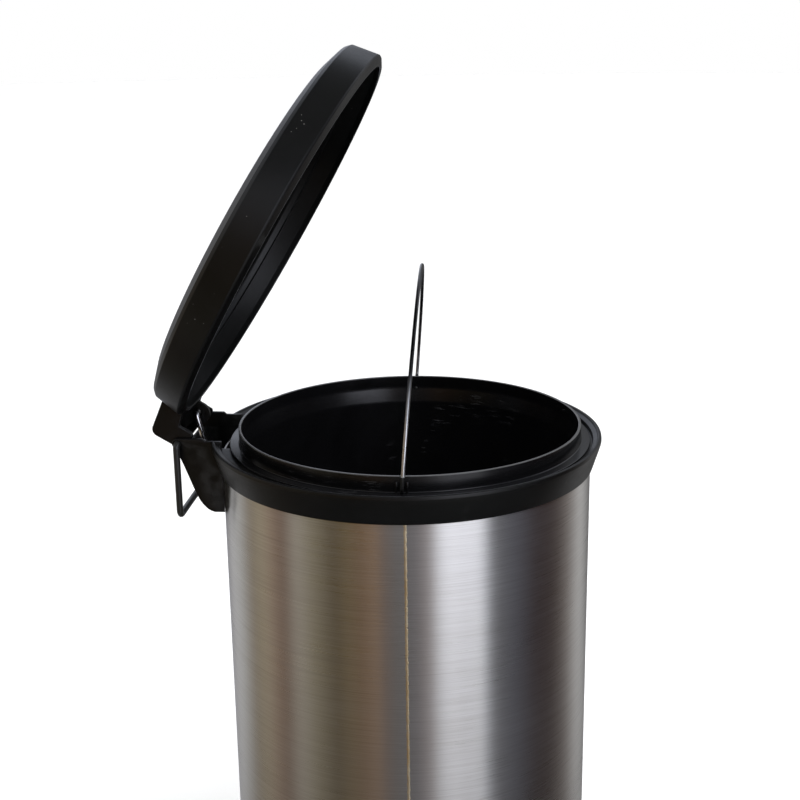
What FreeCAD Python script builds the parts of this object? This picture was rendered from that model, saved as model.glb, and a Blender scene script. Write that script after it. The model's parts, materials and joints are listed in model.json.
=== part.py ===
"""Round pedal trash can: steel barrel, black plastic collar, lid, bucket and base.

Millimetres, +Z up. The origin is the centre of the base on the floor. The pedal is at the
front, towards -Y, and the lid's hinge is at the rear, towards +Y, with its axis along X.
The solids stand in the pedal-down pose: lid open, bail upright, carry handle hanging.
"""
import FreeCAD, Part
import math
import os

V = FreeCAD.Vector

# ---- driving dimensions ----------------------------------------------------
RUN = 0.06                  # radial clearance of a running fit

COLLAR_TOP = 372.0          # height of the collar's upper lip
COLLAR_R = 130.0            # collar's widest radius
COLLAR_H = 19.6             # height of the collar's outer band
COLLAR_FOOT_R = 124.6       # radius at the band's lower edge
COLLAR_MOUTH_R = 124.0      # opening above the bucket's ledge
LEDGE_R = 115.8             # inner radius of the ledge that carries the bucket
LEDGE_Z = COLLAR_TOP - 5.0

BARREL_R = 122.9
SHEET = 0.8
HEM = 0.7                   # inward step of the folded top edge
BARREL_TOP = COLLAR_TOP - 11.0
BARREL_FOOT = 40.0

BUCKET_Y = -2.5             # the bucket sits a little forward in its opening
BUCKET_TURN = 3.0           # degrees that it is turned there, which turns its bail's axis too
BUCKET_RIM_Z = COLLAR_TOP + 7.3
BUCKET_RIM_R = 113.9
BUCKET_WALL = 1.8
BUCKET_FLANGE_R = 120.0
BUCKET_NECK_R = 111.8
BUCKET_FOOT_R = 97.0
BUCKET_FOOT_Z = 48.0
RIB_REACH = 1.35            # bail-seat ribs: how far they stand off the rim,
RIB_SPREAD = 3.3            # how far each is from the bail's axis,
RIB_H = 7.2                 # and their height above the flange

BAIL_WIRE_R = 1.2
BAIL_LEG_X = 116.8
BAIL_PIVOT_Z = COLLAR_TOP - 1.6
BAIL_LEAD = 12.0            # straight length of each leg above its pivot
BAIL_BEND = 2.6
BAIL_TOP = 112.0            # height of the arch's wire above its pivots
BAIL_SHOULDER = 88.0        # radius of the arch's two shoulders
BAIL_LEAN = 4.5             # degrees from upright, towards the front

HINGE_Y = 148.5
HINGE_Z = COLLAR_TOP - 2.0
LID_OPEN = 60.0
LID_RIM_Z = COLLAR_TOP + 1.8
LID_RIM_R = 127.7
LID_STEP_R = 132.4
LID_STEP_UP = 3.4
LID_SKIRT_UP = 21.2
LID_SKIRT_R = 129.6
LID_TOP_R = 115.6
LID_TOP_UP = 27.4
LID_CROWN = 1.6
LID_WALL = 2.4
HOOD_X = 30.0               # half width of the hood over the hinge
HOOD_WALL = 2.6
HOOD_UP = 20.2              # top of the hood above the hinge pin
HOOD_EAR = 10.7             # how far the hood's cheeks reach in front of the hinge pin
HOOD_EAR_DROP = 6.4         # and below it
LUG_REACH = 14.5            # lid pivot to the push rod's hole
LUG_RISE = 0.5
LUG_R = 7.6
LUG_HALF = 1.5
LUG_HOLE_R = 3.6

NECK_X = 33.0               # half width of the rear hinge housing
NECK_WALL = 2.6
EAR_R = 3.6                 # of the housing round the hinge pin

HANDLE_WIRE_R = 2.2
HANDLE_X = 35.6             # arm centre line
HANDLE_DROP = 49.1
HANDLE_PIN_BEND = 2.6       # between each arm and the pin at its top
HANDLE_BEND = 4.2           # at the grip's corners

ROD_R = 1.8
ROD_X = -5.2
ROD_BEND = 2.6
ROD_HOOK_X = 5.7
ROD_ELBOW_Z = COLLAR_TOP - 46.0
ROD_ELBOW_Y = 118.4
ROD_KNEE_Z = COLLAR_TOP - 7.0
ROD_KNEE_Y = 137.2
GUIDE_Z = 215.0
GUIDE_HALF_X = 11.0
GUIDE_RIVET_X = 7.4         # rivets, either side of the rod
GUIDE_FACE = 8.4            # rod centre line to the guide's inner face

BASE_R = 126.0
BASE_WALL = 2.6
BASE_FLOOR_Z = 42.5
BASE_SPIGOT_TOP = 54.0
FOOT_H = 3.0
SLOT_X = 19.0               # half width of the base's pedal slot
SLOT_TOP = 36.8

AXLE_Y = 22.0
AXLE_Z = 21.0
AXLE_R = 2.5
AXLE_HALF = 31.0
LEVER_HALF = 10.0
LEVER_T = 2.6
LEVER_REAR = 86.0           # axle to the push rod's lower pivot
LEVER_FRONT = 182.7         # axle to the front edge of the strap
LEVER_DOWN = 4.2            # degrees that the front end hangs below level
PAD_HALF = 31.0
PAD_DEPTH = 34.0
PAD_UP = 4.4
RIVET_GAP = 8.0             # pedal rivets, fore and aft of the pad's middle
PAD_DOWN = 4.2
BUFFER_Y = -70.0
BUFFER_H = 4.4


# ---- helpers ---------------------------------------------------------------
def wire_from(points):
    """A closed wire in the XZ plane; an arc is written as its middle and its end, ((r, z), (r, z))."""
    edges = []
    start = None
    here = None
    for item in points:
        if isinstance(item[0], tuple):
            mid = V(item[0][0], 0, item[0][1])
            end = V(item[1][0], 0, item[1][1])
            edges.append(Part.Arc(here, mid, end).toShape())
        else:
            end = V(item[0], 0, item[1])
            if here is not None:
                edges.append(Part.makeLine(here, end))
        if start is None:
            start = end
        here = end
    if here.distanceToPoint(start) > 1e-6:
        edges.append(Part.makeLine(here, start))
    return Part.Wire(edges)


def revolve(points, centre_y=0.0):
    """A solid of revolution about the vertical through (0, centre_y)."""
    face = Part.Face(wire_from(points))
    solid = face.revolve(V(0, 0, 0), V(0, 0, 1), 360)
    solid.translate(V(0, centre_y, 0))
    return solid


def side_plate(outline, x_low, x_high):
    """A plate whose outline lies in the YZ plane, between two X positions."""
    pts = [V(x_low, y, z) for y, z in outline]
    face = Part.Face(Part.makePolygon(pts + [pts[0]]))
    return face.extrude(V(x_high - x_low, 0, 0))


def box(x0, x1, y0, y1, z0, z1):
    return Part.makeBox(x1 - x0, y1 - y0, z1 - z0, V(x0, y0, z0))


def rod_along(a, b, radius):
    direction = b.sub(a)
    return Part.makeCylinder(radius, direction.Length, a, direction)


def x_pin(radius, x0, x1, y, z):
    return Part.makeCylinder(radius, x1 - x0, V(x0, y, z), V(1, 0, 0))


def bent_wire(points, radius, bends):
    """A round wire through the points, with one bend radius for each corner."""
    edges = []
    here = points[0]
    for i in range(1, len(points) - 1):
        into = points[i].sub(points[i - 1]).normalize()
        out = points[i + 1].sub(points[i]).normalize()
        turn = into.getAngle(out)
        bend = bends[i - 1]
        cut = bend * math.tan(turn / 2)
        a = points[i].sub(V(into).multiply(cut))
        b = points[i].add(V(out).multiply(cut))
        inward = V(out).sub(into).normalize()
        centre = points[i].add(V(inward).multiply(bend / math.cos(turn / 2)))
        mid = centre.sub(V(inward).multiply(bend))
        edges.append(Part.makeLine(here, a))
        edges.append(Part.Arc(a, mid, b).toShape())
        here = b
    edges.append(Part.makeLine(here, points[-1]))
    path = Part.Wire(edges)
    along = points[1].sub(points[0])
    ring = Part.Wire([Part.makeCircle(radius, points[0], along)])
    return path.makePipeShell([ring], True, True)


def one_solid(shape):
    shape = shape.removeSplitter()
    solids = shape.Solids
    if len(solids) == 1:
        return solids[0]
    return Part.makeCompound(solids)


def swing(shape, degrees, y, z):
    """Turn a shape about an axis along -X through (y, z); positive lifts the front."""
    turned = shape.copy()
    turned.rotate(V(0, y, z), V(-1, 0, 0), degrees)
    return turned


def save(name, shape):
    shape.exportStep("parts/" + name + ".step")


# ---- barrel ----------------------------------------------------------------
def make_barrel():
    inner = BARREL_R - SHEET
    outline = [
        (inner, BARREL_FOOT),
        (BARREL_R, BARREL_FOOT),
        (BARREL_R, BARREL_TOP),
        (inner - HEM, BARREL_TOP),
        (inner - HEM, BARREL_TOP - 5.0),
        (inner, BARREL_TOP - 5.4),
    ]
    tube = revolve(outline)
    slot_low = COLLAR_TOP - 45.0
    slot = box(ROD_X - 6.0, ROD_X + 6.0, 100, 130, slot_low, COLLAR_TOP - 20.0)
    holes = [rod_along(V(x, 100, BRACKET_SCREW_Z), V(x, 140, BRACKET_SCREW_Z), 1.7)
             for x in BRACKET_SCREW_X]
    tube = tube.cut(slot)
    for hole in holes:
        tube = tube.cut(hole)
    return one_solid(tube)


# ---- collar with its hinge housing -----------------------------------------
BRACKET_SCREW_X = (-24.0, 24.0)
BRACKET_SCREW_Z = COLLAR_TOP - 34.0

HOUSING_FOOT_Z = COLLAR_TOP - 49.1
HOUSING_SIDE = [
    (112.0, COLLAR_TOP),
    (129.6, COLLAR_TOP),
    (131.6, HINGE_Z + EAR_R),
    (HINGE_Y, HINGE_Z + EAR_R),
    (HINGE_Y + 2.4, COLLAR_TOP - 4.0),
    (146.3, COLLAR_TOP - 13.2),
    (142.2, COLLAR_TOP - 23.6),
    (138.8, COLLAR_TOP - 32.7),
    (135.4, COLLAR_TOP - 40.3),
    (132.6, COLLAR_TOP - 44.4),
    (129.0, COLLAR_TOP - 47.7),
    (126.0, HOUSING_FOOT_Z),
    (112.0, HOUSING_FOOT_Z),
]


def housing_block(inset, lift):
    """The housing's outline moved inward by inset at the back and raised by lift at the foot."""
    outline = []
    for y, z in HOUSING_SIDE:
        outline.append((y - inset if y > 112.0 else y, max(z, HOUSING_FOOT_Z + lift)))
    return outline


def make_collar():
    t = COLLAR_TOP
    skirt_in = BARREL_R - SHEET - HEM - 0.1
    outline = [
        (BARREL_R + 0.1, t - COLLAR_H),
        (COLLAR_FOOT_R, t - COLLAR_H),
        (COLLAR_R - 0.6, t - 4.6),
        (COLLAR_R, t - 2.4),
        (COLLAR_R - 0.2, t - 0.9),
        (COLLAR_R - 0.9, t),
        (COLLAR_R - 2.0, t),
        (COLLAR_R - 2.6, t - 1.0),
        (COLLAR_MOUTH_R + 0.6, t - 2.2),
        (COLLAR_MOUTH_R, t - 2.8),
        (COLLAR_MOUTH_R, LEDGE_Z),
        (LEDGE_R, LEDGE_Z),
        (LEDGE_R, LEDGE_Z - 2.2),
        (skirt_in - 1.8, LEDGE_Z - 2.2),
        (skirt_in - 1.8, t - 18.0),
        (skirt_in, t - 18.0),
        (skirt_in, BARREL_TOP + 0.2),
        (BARREL_R + 0.1, BARREL_TOP + 0.2),
    ]
    ring = revolve(outline)
    solid_core = Part.makeCylinder(BARREL_R + 0.1, 80, V(0, 0, t - 60))
    outer = side_plate(HOUSING_SIDE, -NECK_X, NECK_X)
    ears = x_pin(EAR_R, -NECK_X, NECK_X, HINGE_Y, HINGE_Z)
    room = side_plate(housing_block(2.6, 2.6), -NECK_X + NECK_WALL, NECK_X - NECK_WALL)
    lift_out = side_plate([(112, t - 9), (HINGE_Y + 8, t - 9), (HINGE_Y + 8, t + 9), (112, t + 9)],
                          -NECK_X + NECK_WALL, NECK_X - NECK_WALL)
    housing = outer.fuse(ears).cut(solid_core)
    body = ring.fuse(housing)
    body = body.cut(room).cut(lift_out)
    notch = box(-NECK_X + NECK_WALL, NECK_X - NECK_WALL, 90, 135, t - 30, t + 1)
    body = body.cut(notch)
    bosses = None
    for x in BRACKET_SCREW_X:
        boss = rod_along(V(x, 118, BRACKET_SCREW_Z), V(x, 134.0, BRACKET_SCREW_Z), 3.6)
        bosses = boss if bosses is None else bosses.fuse(boss)
    body = body.fuse(bosses.cut(solid_core))
    for x in BRACKET_SCREW_X:
        body = body.cut(rod_along(V(x, 118, BRACKET_SCREW_Z), V(x, 131, BRACKET_SCREW_Z), 1.5))
    bore = x_pin(HANDLE_WIRE_R + RUN, -NECK_X - 1, NECK_X + 1, HINGE_Y, HINGE_Z)
    return one_solid(body.cut(bore))


def make_bracket_screws():
    inner = BARREL_R - SHEET
    screws = []
    for x in BRACKET_SCREW_X:
        head_edge = math.sqrt(inner * inner - (abs(x) + 3.0) ** 2)
        shank = rod_along(V(x, head_edge, BRACKET_SCREW_Z), V(x, 130.0, BRACKET_SCREW_Z), 1.5)
        head = rod_along(V(x, head_edge - 1.8, BRACKET_SCREW_Z), V(x, head_edge, BRACKET_SCREW_Z), 3.0)
        screws.append(shank.fuse(head))
    return Part.makeCompound([one_solid(s) for s in screws])


# ---- bucket and bail -------------------------------------------------------
def make_bucket():
    flange_top = LEDGE_Z + 1.8
    outline = [
        (0, BUCKET_FOOT_Z),
        (BUCKET_FOOT_R - 3.0, BUCKET_FOOT_Z),
        (BUCKET_FOOT_R, BUCKET_FOOT_Z + 3.0),
        (BUCKET_NECK_R, LEDGE_Z),
        (BUCKET_FLANGE_R, LEDGE_Z),
        (BUCKET_FLANGE_R, flange_top),
        (BUCKET_RIM_R, flange_top),
        (BUCKET_RIM_R, BUCKET_RIM_Z - 0.5),
        (BUCKET_RIM_R - 0.5, BUCKET_RIM_Z),
        (BUCKET_RIM_R - BUCKET_WALL + 0.3, BUCKET_RIM_Z),
        (BUCKET_RIM_R - BUCKET_WALL, BUCKET_RIM_Z - 0.5),
        (BUCKET_RIM_R - BUCKET_WALL, LEDGE_Z - 1.0),
        (BUCKET_NECK_R - BUCKET_WALL, LEDGE_Z - 3.0),
        (BUCKET_FOOT_R - BUCKET_WALL, BUCKET_FOOT_Z + 4.0),
        (BUCKET_FOOT_R - BUCKET_WALL - 2.0, BUCKET_FOOT_Z + 2.0),
        (0, BUCKET_FOOT_Z + 2.0),
    ]
    body = revolve(outline, BUCKET_Y)
    for x in (-BUCKET_RIM_R, BUCKET_RIM_R):
        for dy in (-RIB_SPREAD, RIB_SPREAD):
            rib = box(x - RIB_REACH, x + RIB_REACH, BUCKET_Y + dy - 0.75, BUCKET_Y + dy + 0.75,
                      flange_top - 1.0, flange_top + RIB_H)
            inner = Part.makeCylinder(BUCKET_RIM_R - 0.9, 40, V(0, BUCKET_Y, LEDGE_Z - 10))
            body = body.fuse(rib.cut(inner))
    body = body.cut(x_pin(BAIL_WIRE_R + RUN, -118, 118, BUCKET_Y, BAIL_PIVOT_Z))
    return turned_in_place(one_solid(body))


def turned_in_place(shape):
    """The bucket and its bail as they are put in, turned a little about the bucket's middle."""
    placed = shape.copy()
    placed.rotate(V(0, BUCKET_Y, 0), V(0, 0, 1), BUCKET_TURN)
    return placed


def make_bail():
    """A wire arch, upright, with both ends turned inward through the bucket's wall."""
    inner_end = BUCKET_RIM_R - BUCKET_WALL - 1.6
    corner = BAIL_BEND
    z = BAIL_PIVOT_Z
    spring = z + BAIL_LEAD
    height = BAIL_TOP - BAIL_LEAD
    side_centre = BAIL_LEG_X - BAIL_SHOULDER
    crown = (side_centre ** 2 + height ** 2 - BAIL_SHOULDER ** 2) / (2 * (height - BAIL_SHOULDER))
    meet = math.atan2(crown - height, side_centre)

    def shoulder(side, angle):
        return V(side * (side_centre + BAIL_SHOULDER * math.cos(angle)), BUCKET_Y,
                 spring + BAIL_SHOULDER * math.sin(angle))

    top = V(0, BUCKET_Y, spring + height)
    edges = [Part.Arc(shoulder(-1, meet), top, shoulder(1, meet)).toShape()]
    for side in (-1, 1):
        a = V(side * inner_end, BUCKET_Y, z)
        b = V(side * (BAIL_LEG_X - corner), BUCKET_Y, z)
        bend = V(side * (BAIL_LEG_X - corner + corner * math.sin(math.pi / 4)), BUCKET_Y,
                 z + corner - corner * math.cos(math.pi / 4))
        c = V(side * BAIL_LEG_X, BUCKET_Y, z + corner)
        d = shoulder(side, 0)
        edges += [Part.makeLine(a, b), Part.Arc(b, bend, c).toShape(), Part.makeLine(c, d)]
        edges.append(Part.Arc(d, shoulder(side, meet / 2), shoulder(side, meet)).toShape())
    path = Part.Wire(Part.__sortEdges__(edges))
    start = path.OrderedVertexes[0].Point
    ring = Part.Wire([Part.makeCircle(BAIL_WIRE_R, start, V(1, 0, 0))])
    wire = path.makePipeShell([ring], True, True)
    return turned_in_place(swing(wire, -BAIL_LEAN, BUCKET_Y, z))


# ---- lid -------------------------------------------------------------------
def cap_middle(radius, crown, sag):
    """The point half way out on a shallow dome of the given radius and height."""
    ball = (radius * radius + sag * sag) / (2 * sag)
    return (radius / 2, crown - ball + math.sqrt(ball * ball - radius * radius / 4))


def lid_skin():
    z = LID_RIM_Z
    crown = z + LID_TOP_UP + LID_CROWN
    inner_r = LID_TOP_R - 1.0
    outline = [
        (0, crown),
        (cap_middle(LID_TOP_R, crown, LID_CROWN), (LID_TOP_R, z + LID_TOP_UP)),
        (LID_SKIRT_R - 2.2, z + LID_SKIRT_UP + 2.0),
        (LID_SKIRT_R, z + LID_SKIRT_UP),
        (LID_STEP_R, z + LID_STEP_UP),
        (LID_STEP_R - 0.6, z + LID_STEP_UP - 0.8),
        (LID_RIM_R, z),
        (LID_RIM_R - 2.2, z),
        (LID_RIM_R - 1.2, z + 4.0),
        (LID_RIM_R - 1.9, z + 15.6),
        (LID_RIM_R - 3.4, z + 16.4),
        (LID_RIM_R - 4.2, z + LID_SKIRT_UP - 1.0),
        (inner_r, z + LID_TOP_UP - LID_WALL),
        (cap_middle(inner_r, crown - LID_WALL, LID_CROWN), (0, crown - LID_WALL)),
    ]
    return revolve(outline)


HOOD_BACK = HINGE_Y + 3.4


def hood_outline(inset):
    """The hood's side outline with the lid shut; inset draws the inner faces."""
    y0 = 118.0
    top = HINGE_Z + HOOD_UP - inset
    front_top = top + 2.2
    back = HOOD_BACK - inset
    low = HINGE_Z + 5.0
    points = [(y0, low if inset == 0 else low - 20.0), (y0, front_top + 0.6)]
    points.append((HINGE_Y - 20.0, front_top))
    radius = 5.0 - inset
    for step in range(7):
        angle = math.radians(90.0 - 15.0 * step)
        points.append((back - radius + radius * math.cos(angle), top - radius + radius * math.sin(angle)))
    if inset == 0:
        points.append((HOOD_BACK, HINGE_Z - 2.0))
        points.append((HINGE_Y - 1.5, HINGE_Z - HOOD_EAR_DROP + 0.4))
        points.append((HINGE_Y - 3.0, HINGE_Z - HOOD_EAR_DROP))
        points.append((HINGE_Y - HOOD_EAR + 1.5, HINGE_Z - HOOD_EAR_DROP))
        points.append((HINGE_Y - HOOD_EAR, HINGE_Z - HOOD_EAR_DROP + 1.5))
        points.append((HINGE_Y - HOOD_EAR, HINGE_Z + 4.6))
        points.append((HINGE_Y - 20.0, low + 1.5))
    else:
        points.append((HINGE_Y + 0.4 - inset, HINGE_Z - 15.0))
    return points


def make_lid():
    skin = lid_skin()
    inside = Part.makeCylinder(LID_RIM_R - 2.4, 40, V(0, 0, LID_RIM_Z - 15))
    hood = side_plate(hood_outline(0), -HOOD_X, HOOD_X)
    room = side_plate(hood_outline(HOOD_WALL), -HOOD_X + HOOD_WALL, HOOD_X - HOOD_WALL)
    cover = hood.cut(room)
    cover = cover.cut(box(-HOOD_X + HOOD_WALL, HOOD_X - HOOD_WALL, HINGE_Y - 9, HINGE_Y + 9,
                          HINGE_Z - 9, HINGE_Z + 3.0))
    keep_out = inside.cut(Part.makeCylinder(LID_RIM_R - 2.4, 3, V(0, 0, LID_RIM_Z + LID_SKIRT_UP)))
    cover = cover.cut(keep_out)
    lug_y = HINGE_Y - LUG_REACH
    lug_z = HINGE_Z + LUG_RISE
    lug = x_pin(LUG_R, -LUG_HALF, LUG_HALF, lug_y + 0.4, lug_z - 1.0)
    web = side_plate([(lug_y - 7.2, lug_z), (HINGE_Y - 6.0, HINGE_Z - 4.6), (HINGE_Y + 0.6, HINGE_Z - 3.6),
                      (HINGE_Y + 1.6, HINGE_Z + 12.0), (HINGE_Y - 2.0, HINGE_Z + 17.0),
                      (lug_y - 6.6, HINGE_Z + 18.4)], -LUG_HALF, LUG_HALF)
    lug = lug.fuse(web).cut(inside)
    body = skin.fuse(cover).fuse(lug)
    body = body.cut(x_pin(LUG_HOLE_R, -5, 5, lug_y, lug_z))
    body = body.cut(x_pin(HANDLE_WIRE_R + RUN, -60, 60, HINGE_Y, HINGE_Z))
    return swing(one_solid(body), LID_OPEN, HINGE_Y, HINGE_Z)


# ---- carry handle ----------------------------------------------------------
def make_carry_handle():
    """A wire bail at the rear; its turned-in ends are also the pins of the lid's hinge."""
    end = HOOD_X - HOOD_WALL - 0.6
    low = HINGE_Z - HANDLE_DROP
    points = [
        V(-end, HINGE_Y, HINGE_Z),
        V(-HANDLE_X, HINGE_Y, HINGE_Z),
        V(-HANDLE_X, HINGE_Y, low),
        V(HANDLE_X, HINGE_Y, low),
        V(HANDLE_X, HINGE_Y, HINGE_Z),
        V(end, HINGE_Y, HINGE_Z),
    ]
    return bent_wire(points, HANDLE_WIRE_R, [HANDLE_PIN_BEND, HANDLE_BEND, HANDLE_BEND, HANDLE_PIN_BEND])


# ---- push rod --------------------------------------------------------------
def lug_point():
    """The push rod's upper pivot with the lid open."""
    angle = math.radians(LID_OPEN)
    y = HINGE_Y - LUG_REACH * math.cos(angle) + LUG_RISE * math.sin(angle)
    z = HINGE_Z + LUG_REACH * math.sin(angle) + LUG_RISE * math.cos(angle)
    return y, z


def lever_point(reach, rise=0.0):
    """A point on the lever in the pedal-down pose; reach is positive towards the rear."""
    angle = math.radians(LEVER_DOWN)
    y = AXLE_Y + reach * math.cos(angle) - rise * math.sin(angle)
    z = AXLE_Z + reach * math.sin(angle) + rise * math.cos(angle)
    return y, z


def make_push_rod():
    """The wire from the lever's ear to the lid's lug, with a hook at each end."""
    top_y, top_z = lug_point()
    low_y, low_z = lever_point(LEVER_REAR)
    points = [
        V(ROD_HOOK_X, low_y, low_z),
        V(ROD_X, low_y, low_z),
        V(ROD_X, ROD_ELBOW_Y, ROD_ELBOW_Z),
        V(ROD_X, ROD_KNEE_Y, ROD_KNEE_Z),
        V(ROD_X, top_y, top_z),
        V(ROD_HOOK_X, top_y, top_z),
    ]
    return bent_wire(points, ROD_R, [ROD_BEND] * 4)


def rod_y_at_guide():
    low_y, low_z = lever_point(LEVER_REAR)
    share = (GUIDE_Z - low_z) / (ROD_ELBOW_Z - low_z)
    return low_y + (ROD_ELBOW_Y - low_y) * share


def make_rod_guide():
    """A clip inside the barrel with a slot that lets the rod slide and lean."""
    z = GUIDE_Z
    rod_y = rod_y_at_guide()
    seat = BARREL_R - SHEET - 0.1
    block = box(ROD_X - GUIDE_HALF_X, ROD_X + GUIDE_HALF_X, 100, 124, z - 5, z + 5)
    block = block.common(Part.makeCylinder(seat, 20, V(0, 0, z - 10)))
    block = block.cut(box(ROD_X - 12, ROD_X + 12, 99, rod_y - GUIDE_FACE, z - 6, z + 6))
    slot = box(ROD_X - ROD_R - 0.6, ROD_X + ROD_R + 0.6, rod_y - 6.6, rod_y + 3.0, z - 6, z + 6)
    block = block.cut(slot)
    for x in (ROD_X - GUIDE_RIVET_X, ROD_X + GUIDE_RIVET_X):
        block = block.cut(rod_along(V(x, 100, z), V(x, 126, z), 1.3))
    return one_solid(block)


def make_guide_rivets():
    z = GUIDE_Z
    face = rod_y_at_guide() - GUIDE_FACE
    rivets = []
    for x in (ROD_X - GUIDE_RIVET_X, ROD_X + GUIDE_RIVET_X):
        stop = math.sqrt((BARREL_R - SHEET) ** 2 - (abs(x) + 1.3) ** 2)
        shank = rod_along(V(x, face, z), V(x, stop - 0.1, z), 1.3)
        head = rod_along(V(x, face - 1.0, z), V(x, face, z), 2.4)
        rivets.append(one_solid(shank.fuse(head)))
    return Part.makeCompound(rivets)


# ---- base ------------------------------------------------------------------
CLIP_X = (-24.0, 24.0)
CLIP_BOLT = 11.0
FOOT_COUNT = 4
FOOT_R = 8.0
FOOT_RING_R = 112.0


def make_base():
    outer = BASE_R
    wall_in = outer - BASE_WALL
    spigot = BARREL_R - SHEET - 0.1
    outline = [
        (outer - 0.8, FOOT_H),
        (outer, FOOT_H + 0.8),
        (outer, BARREL_FOOT - 3.0),
        (outer - 2.0, BARREL_FOOT - 0.1),
        (spigot, BARREL_FOOT - 0.1),
        (spigot, BASE_SPIGOT_TOP),
        (spigot - 2.4, BASE_SPIGOT_TOP),
        (spigot - 2.4, BASE_FLOOR_Z + 2.4),
        (0, BASE_FLOOR_Z + 2.4),
        (0, BASE_FLOOR_Z),
        (spigot - 2.6, BASE_FLOOR_Z),
        (spigot - 2.6, BARREL_FOOT - 2.8),
        (wall_in, BARREL_FOOT - 5.4),
        (wall_in, FOOT_H + 2.4),
        (FOOT_RING_R - FOOT_R - 1.0, FOOT_H + 2.4),
        (FOOT_RING_R - FOOT_R - 1.0, FOOT_H),
    ]
    body = revolve(outline)
    slot = box(-SLOT_X, SLOT_X, -140, -90, FOOT_H - 1, SLOT_TOP)
    body = body.cut(slot)
    gap = box(ROD_X - 9, 8, 95, 117, BASE_FLOOR_Z - 1, BASE_FLOOR_Z + 4)
    body = body.cut(gap)
    rear_y = lever_point(LEVER_REAR)[0]
    body = body.cut(box(-14, 14, rear_y - 12, rear_y + 9, FOOT_H - 1, FOOT_H + 3))
    for x in CLIP_X:
        for dy in (-CLIP_BOLT, CLIP_BOLT):
            post = rod_along(V(x, AXLE_Y + dy, AXLE_Z), V(x, AXLE_Y + dy, BASE_FLOOR_Z + 1), 3.4)
            body = body.fuse(post)
        body = body.fuse(box(x - 4, x + 4, AXLE_Y - 5, AXLE_Y + 5, AXLE_Z, BASE_FLOOR_Z + 1))
    body = body.cut(x_pin(AXLE_R + RUN, -40, 40, AXLE_Y, AXLE_Z))
    for x in CLIP_X:
        for dy in (-CLIP_BOLT, CLIP_BOLT):
            body = body.cut(rod_along(V(x, AXLE_Y + dy, AXLE_Z - 1), V(x, AXLE_Y + dy, AXLE_Z + 9), 1.5))
    return one_solid(body)


def make_axle_clip(x):
    """A strap screwed up under the base that holds the axle in its saddle."""
    z = AXLE_Z
    strap = box(x - 5, x + 5, AXLE_Y - CLIP_BOLT - 5, AXLE_Y + CLIP_BOLT + 5, z - 2.2, z - 0.1)
    cup = x_pin(AXLE_R + RUN + 2.2, x - 5, x + 5, AXLE_Y, z)
    cup = cup.cut(box(x - 6, x + 6, AXLE_Y - 9, AXLE_Y + 9, z - 0.1, z + 9))
    body = strap.fuse(cup).cut(x_pin(AXLE_R + RUN, x - 6, x + 6, AXLE_Y, z))
    for dy in (-CLIP_BOLT, CLIP_BOLT):
        body = body.cut(rod_along(V(x, AXLE_Y + dy, z - 4), V(x, AXLE_Y + dy, z + 1), 1.6))
    return one_solid(body)


def make_clip_screws():
    screws = []
    z = AXLE_Z - 2.2
    for x in CLIP_X:
        for dy in (-CLIP_BOLT, CLIP_BOLT):
            y = AXLE_Y + dy
            shank = rod_along(V(x, y, z), V(x, y, z + 10.0), 1.45)
            head = rod_along(V(x, y, z - 2.0), V(x, y, z), 2.9)
            cross = box(x - 1.8, x + 1.8, y - 0.4, y + 0.4, z - 3.0, z - 1.0)
            screws.append(one_solid(shank.fuse(head).cut(cross)))
    return Part.makeCompound(screws)


def make_foot_pads():
    pads = []
    for i in range(FOOT_COUNT):
        angle = math.radians(45 + 360 * i / FOOT_COUNT)
        x = FOOT_RING_R * math.cos(angle)
        y = FOOT_RING_R * math.sin(angle)
        pad = Part.makeCone(FOOT_R - 1.0, FOOT_R, FOOT_H, V(x, y, 0))
        pads.append(pad)
    return Part.makeCompound(pads)


# ---- pedal -----------------------------------------------------------------
def lever_strap():
    """The strap when it is level: a flat bar with an eye at the axle and an ear at the rear."""
    y_rear = AXLE_Y + LEVER_REAR
    y_front = AXLE_Y - LEVER_FRONT
    under = AXLE_Z - AXLE_R - LEVER_T
    bar = box(-LEVER_HALF, LEVER_HALF, y_front, y_rear + 5.0, AXLE_Z - LEVER_T / 2, AXLE_Z + LEVER_T / 2)
    eye = x_pin(AXLE_R + 2.6, -LEVER_HALF, LEVER_HALF, AXLE_Y, AXLE_Z)
    ear = side_plate([(y_rear - 9, AXLE_Z - 1), (y_rear - 5, AXLE_Z + 4.6), (y_rear + 5, AXLE_Z + 4.6),
                      (y_rear + 5, AXLE_Z - 4.6), (y_rear - 5, AXLE_Z - 4.6)], -1.3, 1.3)
    trim = box(-LEVER_HALF - 1, -1.3, y_rear - 9, y_rear + 6, AXLE_Z - 5, AXLE_Z + 5)
    trim = trim.fuse(box(1.3, LEVER_HALF + 1, y_rear - 9, y_rear + 6, AXLE_Z - 5, AXLE_Z + 5))
    ribs = box(-LEVER_HALF, -LEVER_HALF + 1.8, AXLE_Y - 118, y_rear - 14, under, AXLE_Z)
    ribs = ribs.fuse(box(LEVER_HALF - 1.8, LEVER_HALF, AXLE_Y - 118, y_rear - 14, under, AXLE_Z))
    body = bar.cut(trim).fuse(eye).fuse(ear).fuse(ribs)
    body = body.cut(x_pin(AXLE_R + RUN, -40, 40, AXLE_Y, AXLE_Z))
    body = body.cut(x_pin(ROD_R + RUN, -5, 5, y_rear, AXLE_Z))
    return one_solid(body)


def pad_centre_y():
    return AXLE_Y - LEVER_FRONT + PAD_DEPTH / 2 - 3.0


def make_pedal_lever():
    body = lever_strap()
    for dy in (-RIVET_GAP, RIVET_GAP):
        y = pad_centre_y() + dy
        body = body.cut(rod_along(V(0, y, AXLE_Z - 5), V(0, y, AXLE_Z + 5), 1.9))
    return swing(one_solid(body), -LEVER_DOWN, AXLE_Y, AXLE_Z)


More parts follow.
